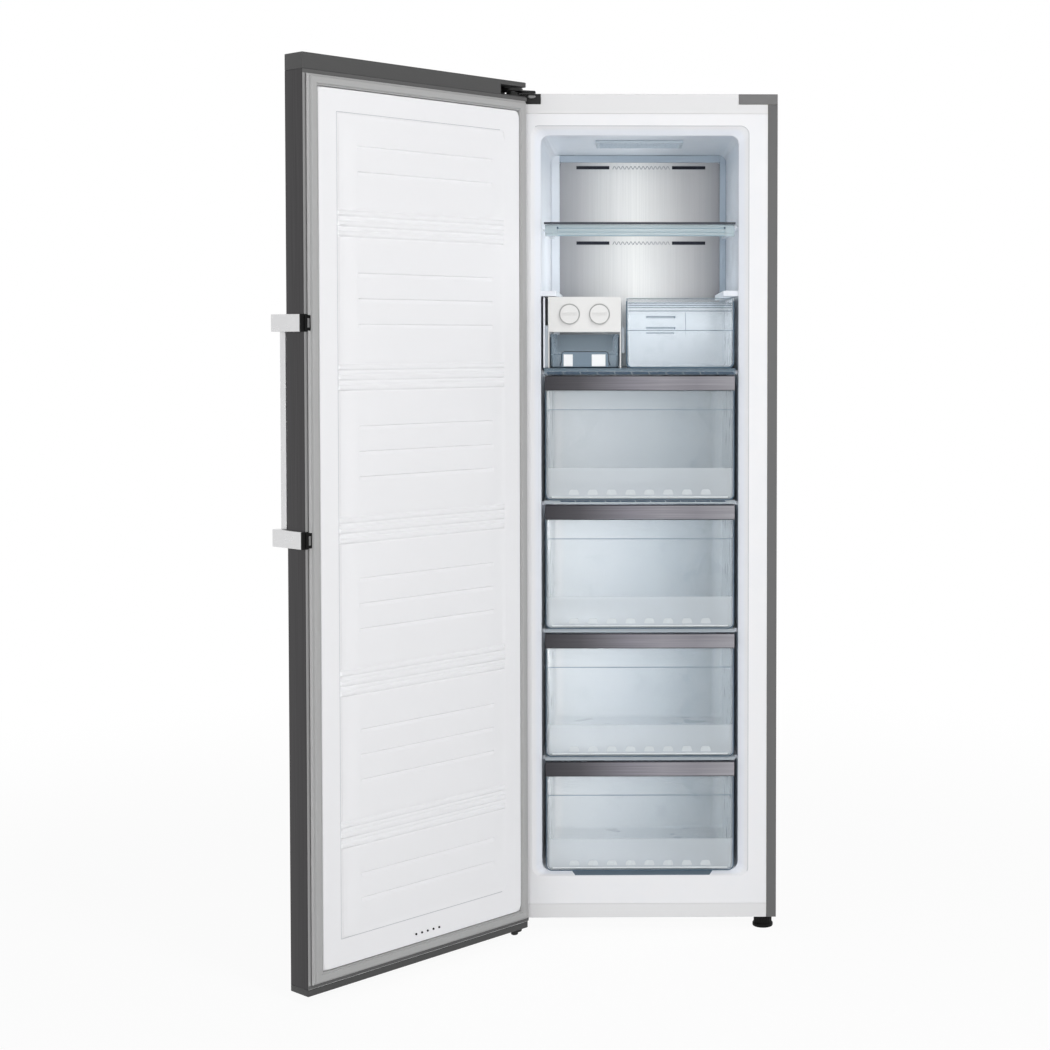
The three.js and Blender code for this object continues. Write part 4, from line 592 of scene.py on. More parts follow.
def tube(bm, points, radius, steps):
    """A round bar along points; its ends are closed."""
    rings = []
    for place, point in enumerate(points):
        way = points[min(place + 1, len(points) - 1)] - points[max(place - 1, 0)]
        turned = Matrix.Translation(point) @ way.to_track_quat("Z", "Y").to_matrix().to_4x4()
        ring = bmesh.ops.create_circle(bm, segments=steps, radius=radius, matrix=turned)["verts"]
        rings.append(list({edge for vertex in ring for edge in vertex.link_edges}))
    for first, last in zip(rings, rings[1:]):
        bmesh.ops.bridge_loops(bm, edges=first + last)
    bmesh.ops.contextual_create(bm, geom=rings[0])
    bmesh.ops.contextual_create(bm, geom=rings[-1])
    bmesh.ops.recalc_face_normals(bm, faces=bm.faces)


def curved(points, spacing=6):
    """Points of a smooth line through the given ones."""
    ends = [points[0] * 2 - points[1]] + points + [points[-1] * 2 - points[-2]]
    line = []
    for before, first, second, after in zip(ends, ends[1:], ends[2:], ends[3:]):
        for step in range(spacing):
            t = step / spacing
            pull = (second - before) * t + (before * 2 - first * 5 + second * 4 - after) * t ** 2
            pull += (first * 3 - before - second * 3 + after) * t ** 3
            line.append(first + pull / 2)
    return line + [points[-1]]


def finished(bm, name, finish, node, instead=False, slot=None, soft=0.0, segments=2, wall=0.0, crease=CREASE):
    """Ends a piece: its place, shading, rounded edges and wall. It takes the body of a node, and stands instead
    of it if that is said. The slot it is given is not used."""
    bmesh.ops.transform(bm, matrix=placing(node), verts=bm.verts)
    mesh = bpy.data.meshes.new(name)
    bm.to_mesh(mesh)
    bm.free()
    for coat in ([finish] if isinstance(finish, str) else finish):
        mesh.materials.append(FINISH[coat])
    mesh.shade_smooth()
    mesh.set_sharp_from_angle(angle=crease)
    piece = new_object(name, mesh)
    if wall:
        skin = piece.modifiers.new("wall", "SOLIDIFY")
        skin.thickness = wall * MM
        skin.offset = -1
        skin.use_even_offset = True
    if soft:
        edges = piece.modifiers.new("rounded edges", "BEVEL")
        edges.width = soft * MM
        edges.segments = segments
        edges.limit_method = "ANGLE"
        edges.angle_limit = crease
        edges.harden_normals = True
    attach(piece, BODY_OF[node])
    if instead:
        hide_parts(node)


def blocks(name, finish, node, boxes, **ending):
    """A piece of boxes, each given by two corners."""
    bm = bmesh.new()
    for low, high in boxes:
        between(bm, low, high)
    finished(bm, name, finish, node, **ending)


def cad_copy(node):
    """A CAD node with its triangles joined into whole faces."""
    bm = bmesh.new()
    bm.from_mesh(NODES[node].data)
    bmesh.ops.remove_doubles(bm, verts=bm.verts, dist=WELD * MM)
    bmesh.ops.dissolve_limit(bm, angle_limit=FLAT, verts=bm.verts, edges=bm.edges)
    bmesh.ops.transform(bm, matrix=placing(node).inverted(), verts=bm.verts)
    return bm


def rounded_copy(node, finish, soft, crease=CREASE):
    finished(cad_copy(node), node + "_shell", finish, node, instead=True, soft=soft, crease=crease)


# ---------------------------------------------------------------- cabinet


def make_cabinet():
    for node, finish, soft in [
        ("left_side_panel", "grey_paint", 0.5), ("right_side_panel", "grey_paint", 0.5),
        ("top_panel", "grey_paint", 0.3), ("base_pan", "zinc", 0.4), ("top_rail", "white_coat", 0.8),
        ("kick_rail", "white_coat", 0.8), ("blanking_cap", "grey_plastic", 0.6),
        ("duct_plate", "duct", 0.5), ("lamp_lens", "lens", 1.2), ("cord_inlet", "black_plastic", 0.8),
        ("top_hinge_bracket", "black_steel", 0.6), ("bottom_hinge_bracket", "black_steel", 0.6),
        ("top_hinge_pin", "pin_steel", 0.4), ("bottom_hinge_pin", "black_steel", 0.4),
        ("compressor_cover", "zinc", 0.3), ("compressor", "black_enamel", 0.6),
    ]:
        rounded_copy(node, finish, soft)
    rounded_copy("liner", "liner", 0.6, SHALLOW)
    mouth_shade_line()
    sill_recess()
    duct_details()
    hinge_lever()
    rear_panel()
    machine_space()
    lamp_prisms()
    for side in ("left", "right"):
        front_foot(side)
        rear_roller(side)


MOUTH_X = (-23.3, 446.7)
MOUTH_Z = (120.5, 1752.0)


def mouth_shade_line():
    """A grey line of painted shade at the crease where the liner's flange turns into the mouth. It is left out
    towards the left and along the sill."""
    wide, tall = MOUTH_X[1] - MOUTH_X[0], MOUTH_Z[1] - MOUTH_Z[0]
    bm = bmesh.new()
    sheet(bm, wide + 3, tall + 3)
    rounded(bm, bm.verts[:], 19.5, 10, "VERTICES")
    bmesh.ops.inset_region(bm, faces=bm.faces[:], thickness=1.5, use_boundary=True, use_even_offset=True)
    middle = max(bm.faces, key=lambda face: face.calc_area())
    bmesh.ops.delete(bm, geom=[middle], context="FACES")
    delete_faces(bm, lambda at, _: at.x < 10 - wide / 2 or at.y < 10 - tall / 2)
    place = Matrix.Translation((sum(MOUTH_X) / 2, FRONT + 0.1, sum(MOUTH_Z) / 2))
    bmesh.ops.transform(bm, matrix=place @ Matrix.Rotation(math.pi / 2, 4, "X"), verts=bm.verts)
    bmesh.ops.recalc_face_normals(bm, faces=bm.faces)
    if bm.faces[:][0].normal.y > 0:
        bmesh.ops.reverse_faces(bm, faces=bm.faces)
    finished(bm, "mouth_shade_line", "mouth_grey", "liner", wall=-0.35)


def sill_recess():
    """The finger recess in the sill, narrower at its foot; its front lies on the mouth's bevel."""
    slope = 14.0 / 9.5  # of the bevel: how far it runs back for its rise
    bm = bmesh.new()
    for vertex in between(bm, (62, FRONT + 1, 121.8), (371.5, FRONT + 14, 129.7)):
        if vertex.co.z < 125:
            vertex.co.x += math.copysign(8, MIDDLE - vertex.co.x)
        if vertex.co.y < FRONT + 5:
            vertex.co.y = FRONT + (vertex.co.z - MOUTH_Z[0]) * slope - 0.4
    finished(bm, "sill_recess", "sill_shade", "liner", soft=0.3)


def duct_details():
    """Channels of painted shade behind the duct's vents, pierced strips between them and a frame round the duct.
    """
    low, high = box("duct_plate")
    front, back = low.y - 1, low.y + 2
    rows = (1700, 1520)
    # The channels are painted shade: near black, where the duct's inside lies in shade.
    blocks("duct_channels", "vent_dark", "duct_plate", [
        ((left, low.y + 2.2, foot - 3), (right, low.y + 5, foot + 11))
        for foot in rows for left, right in ((59.7, 144.7), (288.7, 374.7))
    ])
    bm = bmesh.new()
    # The slots are painted shade: bars as grey as the holes' shaded insides.
    for foot in rows:
        for place in range(28):
            slot = between(bm, (-0.6, -0.15, -4.2), (0.6, 0.15, 4.2))
            lean = Matrix.Rotation(math.radians(-28 if place % 2 else 28), 3, "Y")
            bmesh.ops.rotate(bm, matrix=lean, verts=slot)
            bmesh.ops.translate(bm, vec=(151.5 + 4.9 * place, low.y - 0.05, foot + 3.8), verts=slot)
    finished(bm, "duct_slots", "pierced", "duct_plate")
    left, right, foot, top = 2.4, 421.0, 1232, 1733
    blocks("duct_frame_left", "liner", "liner", [((left, front, foot), (low.x - FIT, back, top))], soft=0.8)
    # The top and right parts of the frame carry painted shade; the left part stays white.
    blocks("duct_frame", "liner_shade", "liner", [
        ((high.x + FIT, front, foot), (right, back, top)),
        ((low.x - FIT, front, high.z + FIT), (high.x + FIT, back, top)),
    ], soft=0.8)


def hinge_lever():
    """The lever over the top hinge with its knuckle on the hinge's axis, and the bright cam on its arm."""
    top = box("top_hinge_bracket")[1].z
    bm = bmesh.new()
    lever = between(bm, (-72, -84, top - 0.3), (-12, -66, top + 7))
    bmesh.ops.translate(bm, vec=(0, 0, -3.2), verts=[v for v in lever if v.co.x > -20 and v.co.z > top])
    rounded(bm, along(bm, 1), 1.8)
    knuckle = [(0, 7.2), (21.0, 7.2), (22.5, 6.2), (22.5, 0.8), (22.0, 0.4), (0, 0.4)]
    lathe(bm, knuckle, (HINGE.x / MM, HINGE.y / MM, top), (0, 0, 1), 40)
    finished(bm, "hinge_lever", "black_steel", "top_hinge_bracket", soft=0.6)
    bm = bmesh.new()
    cam = Vector((-22, -68, top - 6.5))
    lathe(bm, [(0, 3.0), (5.0, 2.6), (6.4, 1.4), (6.4, -2.0), (0, -2.0)], cam, (0, -1, 0), 24)
    resized(bm, (1.5, 1, 0.62), cam, bm.verts)
    finished(bm, "hinge_cam", "pin_steel", "top_hinge_bracket")


def screw(bm, place):
    """A domed screw head with a cross recess, on the back."""
    radius = 3.6
    profile = [(0, 2.2), (radius * 0.45, 2.0), (radius * 0.85, 1.2), (radius, 0.2), (radius, -0.4)]
    lathe(bm, profile, place, (0, 1, 0), 20)
    for wide, tall in ((0.55, 0.14), (0.14, 0.55)):
        reach = Vector((radius * wide, 0.4, radius * tall))
        middle = Vector(place) + Vector((0, 2, 0))
        arm = between(bm, middle - reach, middle + reach)
        for face in {face for vertex in arm for face in vertex.link_faces}:
            face.material_index = 1


def rear_panel():
    """The back sheet with pressed ribs that stiffen it, and its screws."""
    low, high = box("rear_panel")
    blocks("rear_sheet", "zinc", "rear_panel", [(low, high)], instead=True, soft=0.3)
    half = (high.x - low.x) * 0.31
    tall = (high.z - low.z) * 0.08
    for place in range(3):
        middle = low.z + (high.z - low.z) * (0.22 + 0.28 * place)
        bm = bmesh.new()
        pressing = between(bm, (MIDDLE - half, high.y - 0.2, middle - tall),
                           (MIDDLE + half, high.y + 2.4, middle + tall))
        resized(bm, (0.985, 1, 0.95), (MIDDLE, 0, middle), [v for v in pressing if v.co.y > high.y])
        rounded(bm, along(bm, 1, 0.3), 14, 5)
        finished(bm, f"rear_pressing_{place + 1}", "zinc", "rear_panel", soft=1.0)
    edge = 9
    bm = bmesh.new()
    for share in (0.02, 0.26, 0.5, 0.74, 0.98):
        for x in (low.x + edge, high.x - edge):
            screw(bm, (x, high.y, low.z + edge + (high.z - low.z - 2 * edge) * share))
    low, high = box("compressor_cover")
    for x in (low.x + edge, MIDDLE, high.x - edge):
        for z in (low.z + edge, high.z - edge):
            screw(bm, (x, high.y, z))
    finished(bm, "rear_screws", ["pin_steel", "black_plastic"], "rear_panel")


def machine_space():
    """What the slots of the rear cover show: pipes, rubber feet and a terminal cover."""
    low, high = box("compressor")
    middle = (low + high) / 2
    bm = bmesh.new()
    for share, depth in ((0.62, -20), (0.45, 30)):
        start = Vector((low.x + 18, middle.y + depth, low.z + (high.z - low.z) * share))
        line = [start + Vector(step) for step in (
            (0, 0, 0), (-50, 0, 0), (-100, 10, 50), (-160, 10, 50), (-200, 0, -20),
        )]
        tube(bm, curved(line), 3.2, 12)
    finished(bm, "refrigerant_pipes", "copper", "compressor")
    bm = bmesh.new()
    grommet = [(0, 13), (8, 13), (9.5, 11), (9.5, 7), (7.5, 6), (7.5, 4.2), (0, 4.2)]
    for x in (low.x + 14, high.x - 14):
        for y in (low.y + 14, high.y - 14):
            lathe(bm, grommet, (x, y, low.z), (0, 0, 1), 20)
    finished(bm, "compressor_grommets", "black_plastic", "compressor")
    blocks("terminal_cover", "black_plastic", "compressor", [
        ((high.x - 24, middle.y - 26, low.z + 52), (high.x - 2, middle.y + 26, low.z + 104)),
    ], soft=4, segments=3)


def lamp_prisms():
    """The prisms across the lamp's lens."""
    low, high = box("lamp_lens")
    rows = [low.y + row * (high.y - low.y) / 9 for row in range(1, 9)]
    blocks("lamp_prisms", "lens", "lamp_lens", [
        ((low.x + 8, y - 1.2, low.z - 0.8), (high.x - 8, y + 1.2, low.z + 0.5)) for y in rows
    ], soft=0.5)


def front_foot(side):
    """A levelling foot: fluted for the fingers, on a threaded stem."""
    node = f"front_foot_{side}"
    low, high = box(node)
    centre = Vector(((low.x + high.x) / 2, (low.y + high.y) / 2, 0))
    r = (high.x - low.x) / 2
    bm = bmesh.new()
    lathe(bm, [(0, 0), (r - 2.2, 0), (r - 0.6, 0.7), (r, 2.2), (r, 6.6), (r - 0.9, 8.2), (r - 2.6, 8.8),
               (r - 2.4, 10.0), (r - 2.4, 23.0), (r - 3.4, 24.0)], centre, (0, 0, 1), 60)
    flutes, deep = 20, 1.2
    for vertex in bm.verts:
        if 9.4 < vertex.co.z < 23.6:
            way = Vector((vertex.co.x - centre.x, vertex.co.y - centre.y, 0))
            flute = 0.5 + 0.5 * math.cos(flutes * math.atan2(way.y, way.x))
            vertex.co -= way.normalized() * flute * deep
    bmesh.ops.holes_fill(bm, edges=[e for e in bm.edges if e.is_boundary], sides=0)
    outward(bm)
    finished(bm, node + "_turned", "black_plastic", node, instead=True, soft=0.3)
    stem = [(0, 19.8)]
    for turn in range(9):
        stem += [(4.9, 20 + 1.2 * turn), (4.3, 20.6 + 1.2 * turn)]
    bm = bmesh.new()
    lathe(bm, stem + [(4.0, high.z), (0, high.z)], centre, (0, 0, 1), 24)
    finished(bm, f"foot_thread_{side}", "pin_steel", node)


def rear_roller(side):
    """A roller with a rounded tread and hollowed sides, running on its axle."""
    node = f"rear_roller_{side}"
    low, high = box(node)
    r = (high.z - low.z) / 2
    half = (high.x - low.x) / 2
    face = [(3.3, half), (5.5, half), (6.0, half - 1.6), (r - 3.0, half - 1.6), (r - 2.4, half),
            (r - 0.8, half - 0.4), (r, half - 1.6)]
    profile = face + [(radius, -height) for radius, height in reversed(face)] + face[:1]
    bm = bmesh.new()
    lathe(bm, profile, (low + high) / 2, (1, 0, 0), 40)
    finished(bm, node + "_wheel", "black_plastic", node, instead=True)


# ---------------------------------------------------------------- shelves


def make_shelves():
    rounded_copy("top_shelf_glass", "glass", 0.6)
    rounded_copy("middle_shelf_glass", "shelf_plastic", 0.8)
    for number in range(1, 4):
        rounded_copy(f"drawer_shelf_{number}", "lip_pale", 0.8)
    top_rail_piece()
    low, high = box("middle_shelf_glass")
    pockets("middle_shelf_glass", (low.x + 3, high.x - 3), (low.z + 0.8, low.z + 6.2), 3.0)
    low, high = box("drawer_shelf_1")
    pockets("drawer_shelf_1", (low.x + 33, high.x - 22), (high.z - 3.6, high.z - 0.6), 1.6)


def top_rail_piece():
    """The clear rail under the top shelf's front: beads along it, a pale end piece and a stud each side."""
    node = "top_shelf_rail"
    low, high = box(node)
    rounded_copy(node, "rail_clear", 0.8)
    left, right = low.x + 27, high.x - 21
    blocks("top_rail_beads", "rail_bead", node, [
        ((left, low.y - 0.7, low.z + foot), (right, low.y + 1.5, low.z + top))
        for foot, top in ((0, 1.8), (8.2, 9.6), (16.4, 18.0))
    ], soft=0.5)
    blocks("top_rail_ends", "rail_end", node, [
        ((start, low.y - 1.5, low.z + 5), (end, low.y + 8, high.z - 1))
        for start, end in ((low.x, left), (right, high.x))
    ], soft=1.5, segments=3)
    blocks("top_rail_studs", "shadow_plastic", node, [
        ((x - 1.8, low.y - 1.9, high.z - 9.5), (x + 1.8, low.y + 0.5, high.z - 5.0)) for x in (left, right)
    ], soft=0.4)


def pockets(node, across, up, gap):
    """The row of pockets along a shelf's front lip; each leans to the right at its foot."""
    low = box(node)[0]
    count = 11
    pitch = (across[1] - across[0]) / count
    bm = bmesh.new()
    for place in range(count):
        start = across[0] + place * pitch + gap / 2
        cell = between(bm, (start, low.y - 0.35, up[0]), (start + pitch - gap, low.y + 0.5, up[1]))
        bmesh.ops.translate(bm, vec=(2.5, 0, 0), verts=[v for v in cell if v.co.z < sum(up) / 2])
    finished(bm, node + "_pockets", "shadow_plastic", node, soft=0.3)


# ---------------------------------------------------------------- drawers


def open_tub(low, high, corner, foot, draft, step, step_z):
    """An open tub with rounded corners and foot. It widens upwards by its draft, and at step_z by a step."""
    bm = bmesh.new()
    made = between(bm, low, high)
    size = high - low
    centre = ((low.x + high.x) / 2, (low.y + high.y) / 2, 0)

    def widen(amount, verts):
        resized(bm, (1 + amount / size.x, 1 + amount / size.y, 1), centre, verts)

    widen(-2 * (draft + step), [v for v in made if v.co.z < (low.z + high.z) / 2])
    roof = [face for face in bm.faces if face.normal.z > 0.9]
    bmesh.ops.delete(bm, geom=roof, context="FACES_ONLY")
    rounded(bm, along(bm, 2, 0.9), corner, 6)
    rounded(bm, [e for e in bm.edges if all(abs(v.co.z - low.z) < WELD for v in e.verts)], foot, 5)
    for height in (step_z - step, step_z):
        cut(bm, height, 2)
    under = [v for v in bm.verts if v.co.z < step_z - WELD]
    wider = [v for v in bm.verts if v.co.z > step_z - WELD]
    widen(step, wider)
    widen(-step, under)
    wide, deep = (max(v.co[axis] for v in bm.verts) - min(v.co[axis] for v in bm.verts) for axis in (0, 1))
    resized(bm, (size.x / wide, size.y / deep, 1), centre, bm.verts)
    outward(bm)
    return bm


def silhouette(bm, low, high, corner, inset, depth, radius):
    """A line of that radius down one side of a front, round its lower corners and up the other side."""
    left, right, foot = low.x + inset, high.x - inset, low.z + inset
    points = [Vector((left, depth, high.z))]
    for x, start in ((left + corner, 180), (right - corner, 270)):
        for turn in range(start, start + 91, 15):
            way = Vector((math.cos(math.radians(turn)), 0, math.sin(math.radians(turn))))
            points.append(Vector((x, depth, foot + corner)) + way * corner)
    points.append(Vector((right, depth, high.z)))
    tube(bm, points, radius, 8)


def pads(low, high, pitch, wide, taper):
    """Eight pads side by side between two places in depth and height, each tapered at its top."""
    bm = bmesh.new()
    for place in range(8):
        x = MIDDLE + (place - 3.5) * pitch
        pad = between(bm, (x - wide / 2, *low), (x + wide / 2, *high))
        crest = [v for v in pad if v.co.z > (low[1] + high[1]) / 2]
        resized(bm, taper, (x, (low[0] + high[0]) / 2, 0), crest)
    return bm


def drawer_tub(number):
    """A large drawer: a clear front whose foot is painted pale as the lit floor behind, milky sides and floor, and
    what they carry.
    """
    node = f"drawer_{number}_tub"
    trim = f"drawer_{number}_trim"
    low, high = box(node)
    trim_low, trim_high = box(trim)
    step = trim_high.z - 74
    # Below this height the front takes the paler finish: painted light for the lit floor seen through it.
    frosted = low.z + 70
    bm = open_tub(low, high, 10, 12, 0.8, 0.5, step)
    cut(bm, frosted, 2)
    for face in bm.faces:
        if front_facing(None, face.normal):
            face.material_index = 1 if face.calc_center_median().z > frosted else 2
    finished(bm, node + "_shell", ["tub_milky", "tub_clear", "tub_foot"], node, instead=True, wall=2.4)

    floor = low.z + 2.4
    # The floor's pads are painted near white: painted highlight.
    bm = pads((low.y + 14, floor - 0.4), (low.y + 58, floor + 4.5), 43, 20, (0.4, 0.7, 1))
    finished(bm, node + "_pads", "tub_rib", node, soft=1.6, segments=3)
    # The foot's pads are painted near white: painted highlight.
    bm = pads((low.y + 0.7, low.z + 12), (low.y + 1.8, low.z + 23), 41, 24, (0.7, 1, 1))
    rounded(bm, along(bm, 1), 3, 3)
    finished(bm, node + "_foot_pads", "foot_pad", node, soft=0.3)

    shelf = high.z - 9
    blocks(node + "_rim", "tub_milky", node, [
        ((low.x + 0.2, low.y + 6, shelf), (low.x + 2.4, high.y - 6, shelf + 2.4)),
        ((high.x - 2.4, low.y + 6, shelf), (high.x - 0.2, high.y - 6, shelf + 2.4)),
        ((low.x + 3, high.y - 5.5, high.z - 4), (high.x - 3, high.y - 0.5, high.z)),
    ], soft=0.8)
    bm = bmesh.new()
    silhouette(bm, low, Vector((high.x, 0, trim_low.z - 1)), 12, 1.2, low.y + 0.8, 1.1)
    finished(bm, node + "_edge", "edge_line", node)
    blocks(node + "_step", "step_line", node, [
        ((low.x + 3, low.y + 0.1, step - 0.6), (high.x - 3, low.y + 1.2, step + 0.6)),
    ])
    # A pale bead along the foot: painted highlight.
    bm = bmesh.new()
    tube(bm, [Vector((x, low.y + 3, low.z + 6.5)) for x in (low.x + 14, high.x - 14)], 1.8, 10)
    finished(bm, node + "_foot", "foot_bead", node)
    # Dark lines along the strip's top and foot: painted shade of its folds.
    blocks(f"drawer_{number}_strip_edges", "strip_edge", trim, [
        ((trim_low.x + 1, trim_low.y, z + 0.1), (trim_high.x - 1, trim_low.y + 0.6, z + 1.4))
        for z in (trim_low.z, trim_high.z - 1.5)
    ])


def small_drawer():
    """The small clear drawer: rails along its top, a moulded step, slots in its back."""
    node = "small_drawer"
    low, high = box(node)
    front = low.y + 3
    step = high.z - 70
    bm = open_tub(Vector((low.x, front, low.z)), high, 9, 12, 0.8, 0.5, step)
    mark(bm, front_facing)
    finished(bm, "small_drawer_shell", ["small_milky", "small_clear"], node, instead=True, wall=2.2)
    # Each rail's depth under the drawer's top, its height, and how far it stands out.
    sizes = ((0, 1.6, 3.0), (9.8, 1.4, 1.6), (15.0, 1.2, 1.2), (19.8, 1.2, 0.6), (27.0, 1.4, 0.3))
    rails = [
        ((low.x + 5, front - out, high.z - (down + tall)), (high.x - 5, front + 1.5, high.z - down))
        for down, tall, out in sizes
    ]
    rails.append(((low.x + 3, front, step - 0.7), (high.x - 3, front + 1.2, step + 0.7)))
    blocks("small_drawer_rails", "small_rail", node, rails, soft=0.4)
    bm = bmesh.new()
    silhouette(bm, low, Vector((high.x, 0, high.z - 6)), 12, 1.4, front + 0.8, 1.4)
    finished(bm, "small_drawer_edge", "edge_line", node)
    back = high.y - 3.4
    # The slots' grey is painted shade.
    slots = [((229, back, z - 2.4), (297, back + 1.0, z + 2.0)) for z in (1346.0, 1320.0, 1308.5)]
    slots.append(((323.0, back, 1292), (324.4, back + 1.0, 1358)))
    blocks("small_drawer_slots", "slot_grey", node, slots, soft=0.4)
    edges = []
    for z in (1346.0, 1320.0):
        edges += [((229, back - 0.4, z + 1.6), (299, back + 0.6, z + 2.8)),
                  ((296, back - 0.4, z - 2.4), (299, back + 0.6, z + 1.6))]
    blocks("small_drawer_slot_edges", "edge_line", node, edges)


def make_drawers():
    for number in range(1, 5):
        drawer_tub(number)
        rounded_copy(f"drawer_{number}_trim", "trim", 0.7)
    small_drawer()


# ---------------------------------------------------------------- ice maker


def make_ice_maker():
    rounded_copy("ice_housing", "white_abs", 1.0)
    for side in ("left", "right"):
        rounded_copy(f"ice_tray_{side}", "tray_plastic", 0.5)
        ice_knob(side)
    ice_bin()
    shelf_guides()


def ice_knob(side):
    """A knob: a white disc in a ring of painted shade, with a milled grip bar across it."""
    node = f"ice_knob_{side}"
    low, high = box(node)
    centre = Vector(((low.x + high.x) / 2, low.y, (low.z + high.z) / 2))
    deep = high.y - low.y
    bm = bmesh.new()
    lathe(bm, [(0, -0.9), (20.2, -0.9), (20.8, -1.3), (20.8, -3.4), (22.4, -3.4), (22.4, -0.6), (23.0, -0.9),
               (23.0, -5.6), (7, -5.6), (7, -deep), (0, -deep)], centre, (0, -1, 0), 64)
    # The ring in the groove is painted grey as shade.
    ring, back = (20.3, 22.6), low.y + 4.5
    mark(bm, lambda at, _: ring[0] < math.hypot(at.x - centre.x, at.z - centre.z) < ring[1] and at.y < back)
    finished(bm, node + "_disc", ["white_abs", "ring_grey"], node, instead=True, soft=0.2)
    rows = [centre.z + row * 1.6 for row in range(-2, 3)]
    blocks(node + "_grip", "white_abs", node, [
        ((centre.x - 17, centre.y + 0.2, z - 0.5), (centre.x + 17, centre.y + 1.4, z + 0.5)) for z in rows
    ], soft=0.3)


def ice_bin():
    """The clear ice bin: high sides, a low front with a pull tab, a dark line along its edges."""
    node = "ice_bin"
    low, high = box(node)
    lip = low.z + 35
    scoop_left, scoop_right = low.x + 15, high.x - 15
    bm = open_tub(low, high, 6, 6, 1, 1, low.z + 30)
    cut(bm, scoop_left, 0)
    cut(bm, scoop_right, 0)
    cut(bm, lip, 2)
    delete_faces(bm, lambda at, normal: (
        front_facing(at, normal) and scoop_left < at.x < scoop_right and at.z > lip
    ))
    mark(bm, front_facing)
    finished(bm, "ice_bin_shell", ["bin_milky", "bin_clear"], node, instead=True, wall=2.2)

    left, right = 42, 143
    bm = bmesh.new()
    between(bm, (left, low.y - 1.6, low.z + 3), (right, low.y + 0.6, lip + 0.5))
    rounded(bm, [e for e in along(bm, 1) if e.verts[0].co.z > low.z + 20], 6, 5)
    finished(bm, "ice_bin_tab", "bin_tab", node, soft=0.5)
    # The tab's outline: up its left side, over its top and, mirrored, down its right side.
    top = lip + 0.8
    side = [(-4, low.z + 6), (-0.5, low.z + 15), (0, top - 6), (1.6, top - 1.8), (5.5, top)]
    line = [(left + inward, z) for inward, z in side] + [(right - inward, z) for inward, z in reversed(side)]
    bm = bmesh.new()
    tube(bm, [Vector((x, low.y - 0.9, z)) for x, z in line], 1.1, 8)
    silhouette(bm, low, Vector((high.x, 0, high.z - 6)), 8, 1.4, low.y + 1.0, 1.0)
    finished(bm, "ice_bin_lip", "bin_edge", node)
    blocks("ice_bin_pads", "white_gloss", node, [
        ((start, low.y - 1.9, low.z + 4), (end, low.y - 0.5, lip - 5))
        for start, end in ((46, 66), (107, 137))
    ], soft=0.5)


def shelf_guides():
    """Moulded guides that stand on the middle shelf beside the ice maker."""
    foot, back = 1231, 100
    blocks("guide_left", "liner", "liner", [((2.2, -52, foot), (6.0, back, 1384))], soft=0.8)
    blocks("guide_blocks", "guide_grey", "liner", [
        ((6.2, -42, foot), (12.2, back, foot + 92)), ((171.6, -30, foot + 32), (178.6, back, foot + 88)),
    ], soft=0.8)


# ---------------------------------------------------------------- door

FIELD_X = (-10.8, 434.2)  # the liner's moulded field
FIELD_Z = (115.0, 1733.0)
RAISED = 1.0  # the field itself, from the liner's face
EDGE = -1.9  # the sunk edge round it; the foam lies little deeper
RIDGE_TOP = 2.4
GROOVE_DEEP = 2.8
GROOVE_X = (21.7, 385.2)
BANDS = [318 + 300 * i for i in range(5)]
RIDGES = [band + step * 20 for band in BANDS for step in (-1, 0, 1)]
GROOVES = [band + 150 + step * 50 for band in BANDS[:-1] for step in (-1, 0, 1)] + [182, 232, 1616, 1666]


def ease(share):
    """0 to 1 and level at both ends."""
    share = min(max(share, 0.0), 1.0)
    return share * share * (3 - 2 * share)


def field_height(x, z):
    """How far the door's field stands over the liner's face: it slopes down from its outline and comes up
    slowly again."""
    height = RAISED
    for inside, wide, back, deep in (
        (FIELD_X[1] - x, 10, 40, EDGE), (x - FIELD_X[0], 10, 40, EDGE / 4),
        (FIELD_Z[1] - z, 5, 30, EDGE), (z - FIELD_Z[0], 8, 30, EDGE / 2),
    ):
        down = deep * ease(inside / wide) + (RAISED - deep) * ease((inside - wide) / back)
        height = min(height, down - 0.1)
    across = ease(min(x - FIELD_X[0] - 1, FIELD_X[1] - x) / 3)
    for ridge in RIDGES:
        away = abs(z - ridge)
        if away < 10:
            height -= min(0.9, height + 1.8) * across * ease((10 - away) / 4)
            height += (RIDGE_TOP - height) * across * ease((6.5 - away) / 4)
    along_groove = ease(min(x - GROOVE_X[0], GROOVE_X[1] - x) / 4)
    for groove in GROOVES:
        over = z - groove + 4.5
        if 0 < over < 9.8:
            drop = over / 7.4 if over < 7.4 else (9.8 - over) / 2.4
            height -= min(GROOVE_DEEP, height + 1.9) * drop * along_groove
    return height


def door_liner():
    """The door's formed liner, its field left out and its rim turned in round it. Gives the face's place."""
    bm = cad_copy("door_liner")
    face_y = box("door_liner")[1].y - 2.5

    def in_field(at, _):
        level = at.y - face_y
        inside = FIELD_X[0] - FIT < at.x < FIELD_X[1] + FIT and FIELD_Z[0] - FIT < at.z < FIELD_Z[1] + FIT
        return inside and abs(level) > 0.1 and level > -0.5

    delete_faces(bm, in_field)
    rim = [edge for edge in bm.edges if edge.is_boundary]
    made = bmesh.ops.extrude_edge_only(bm, edges=rim)["geom"]
    bmesh.ops.translate(bm, vec=(0, -1.0, 0), verts=[v for v in made if isinstance(v, bmesh.types.BMVert)])
    finished(bm, "door_liner_shell", "door_liner", "door_liner", instead=True, soft=0.5, crease=SHALLOW)
    return face_y


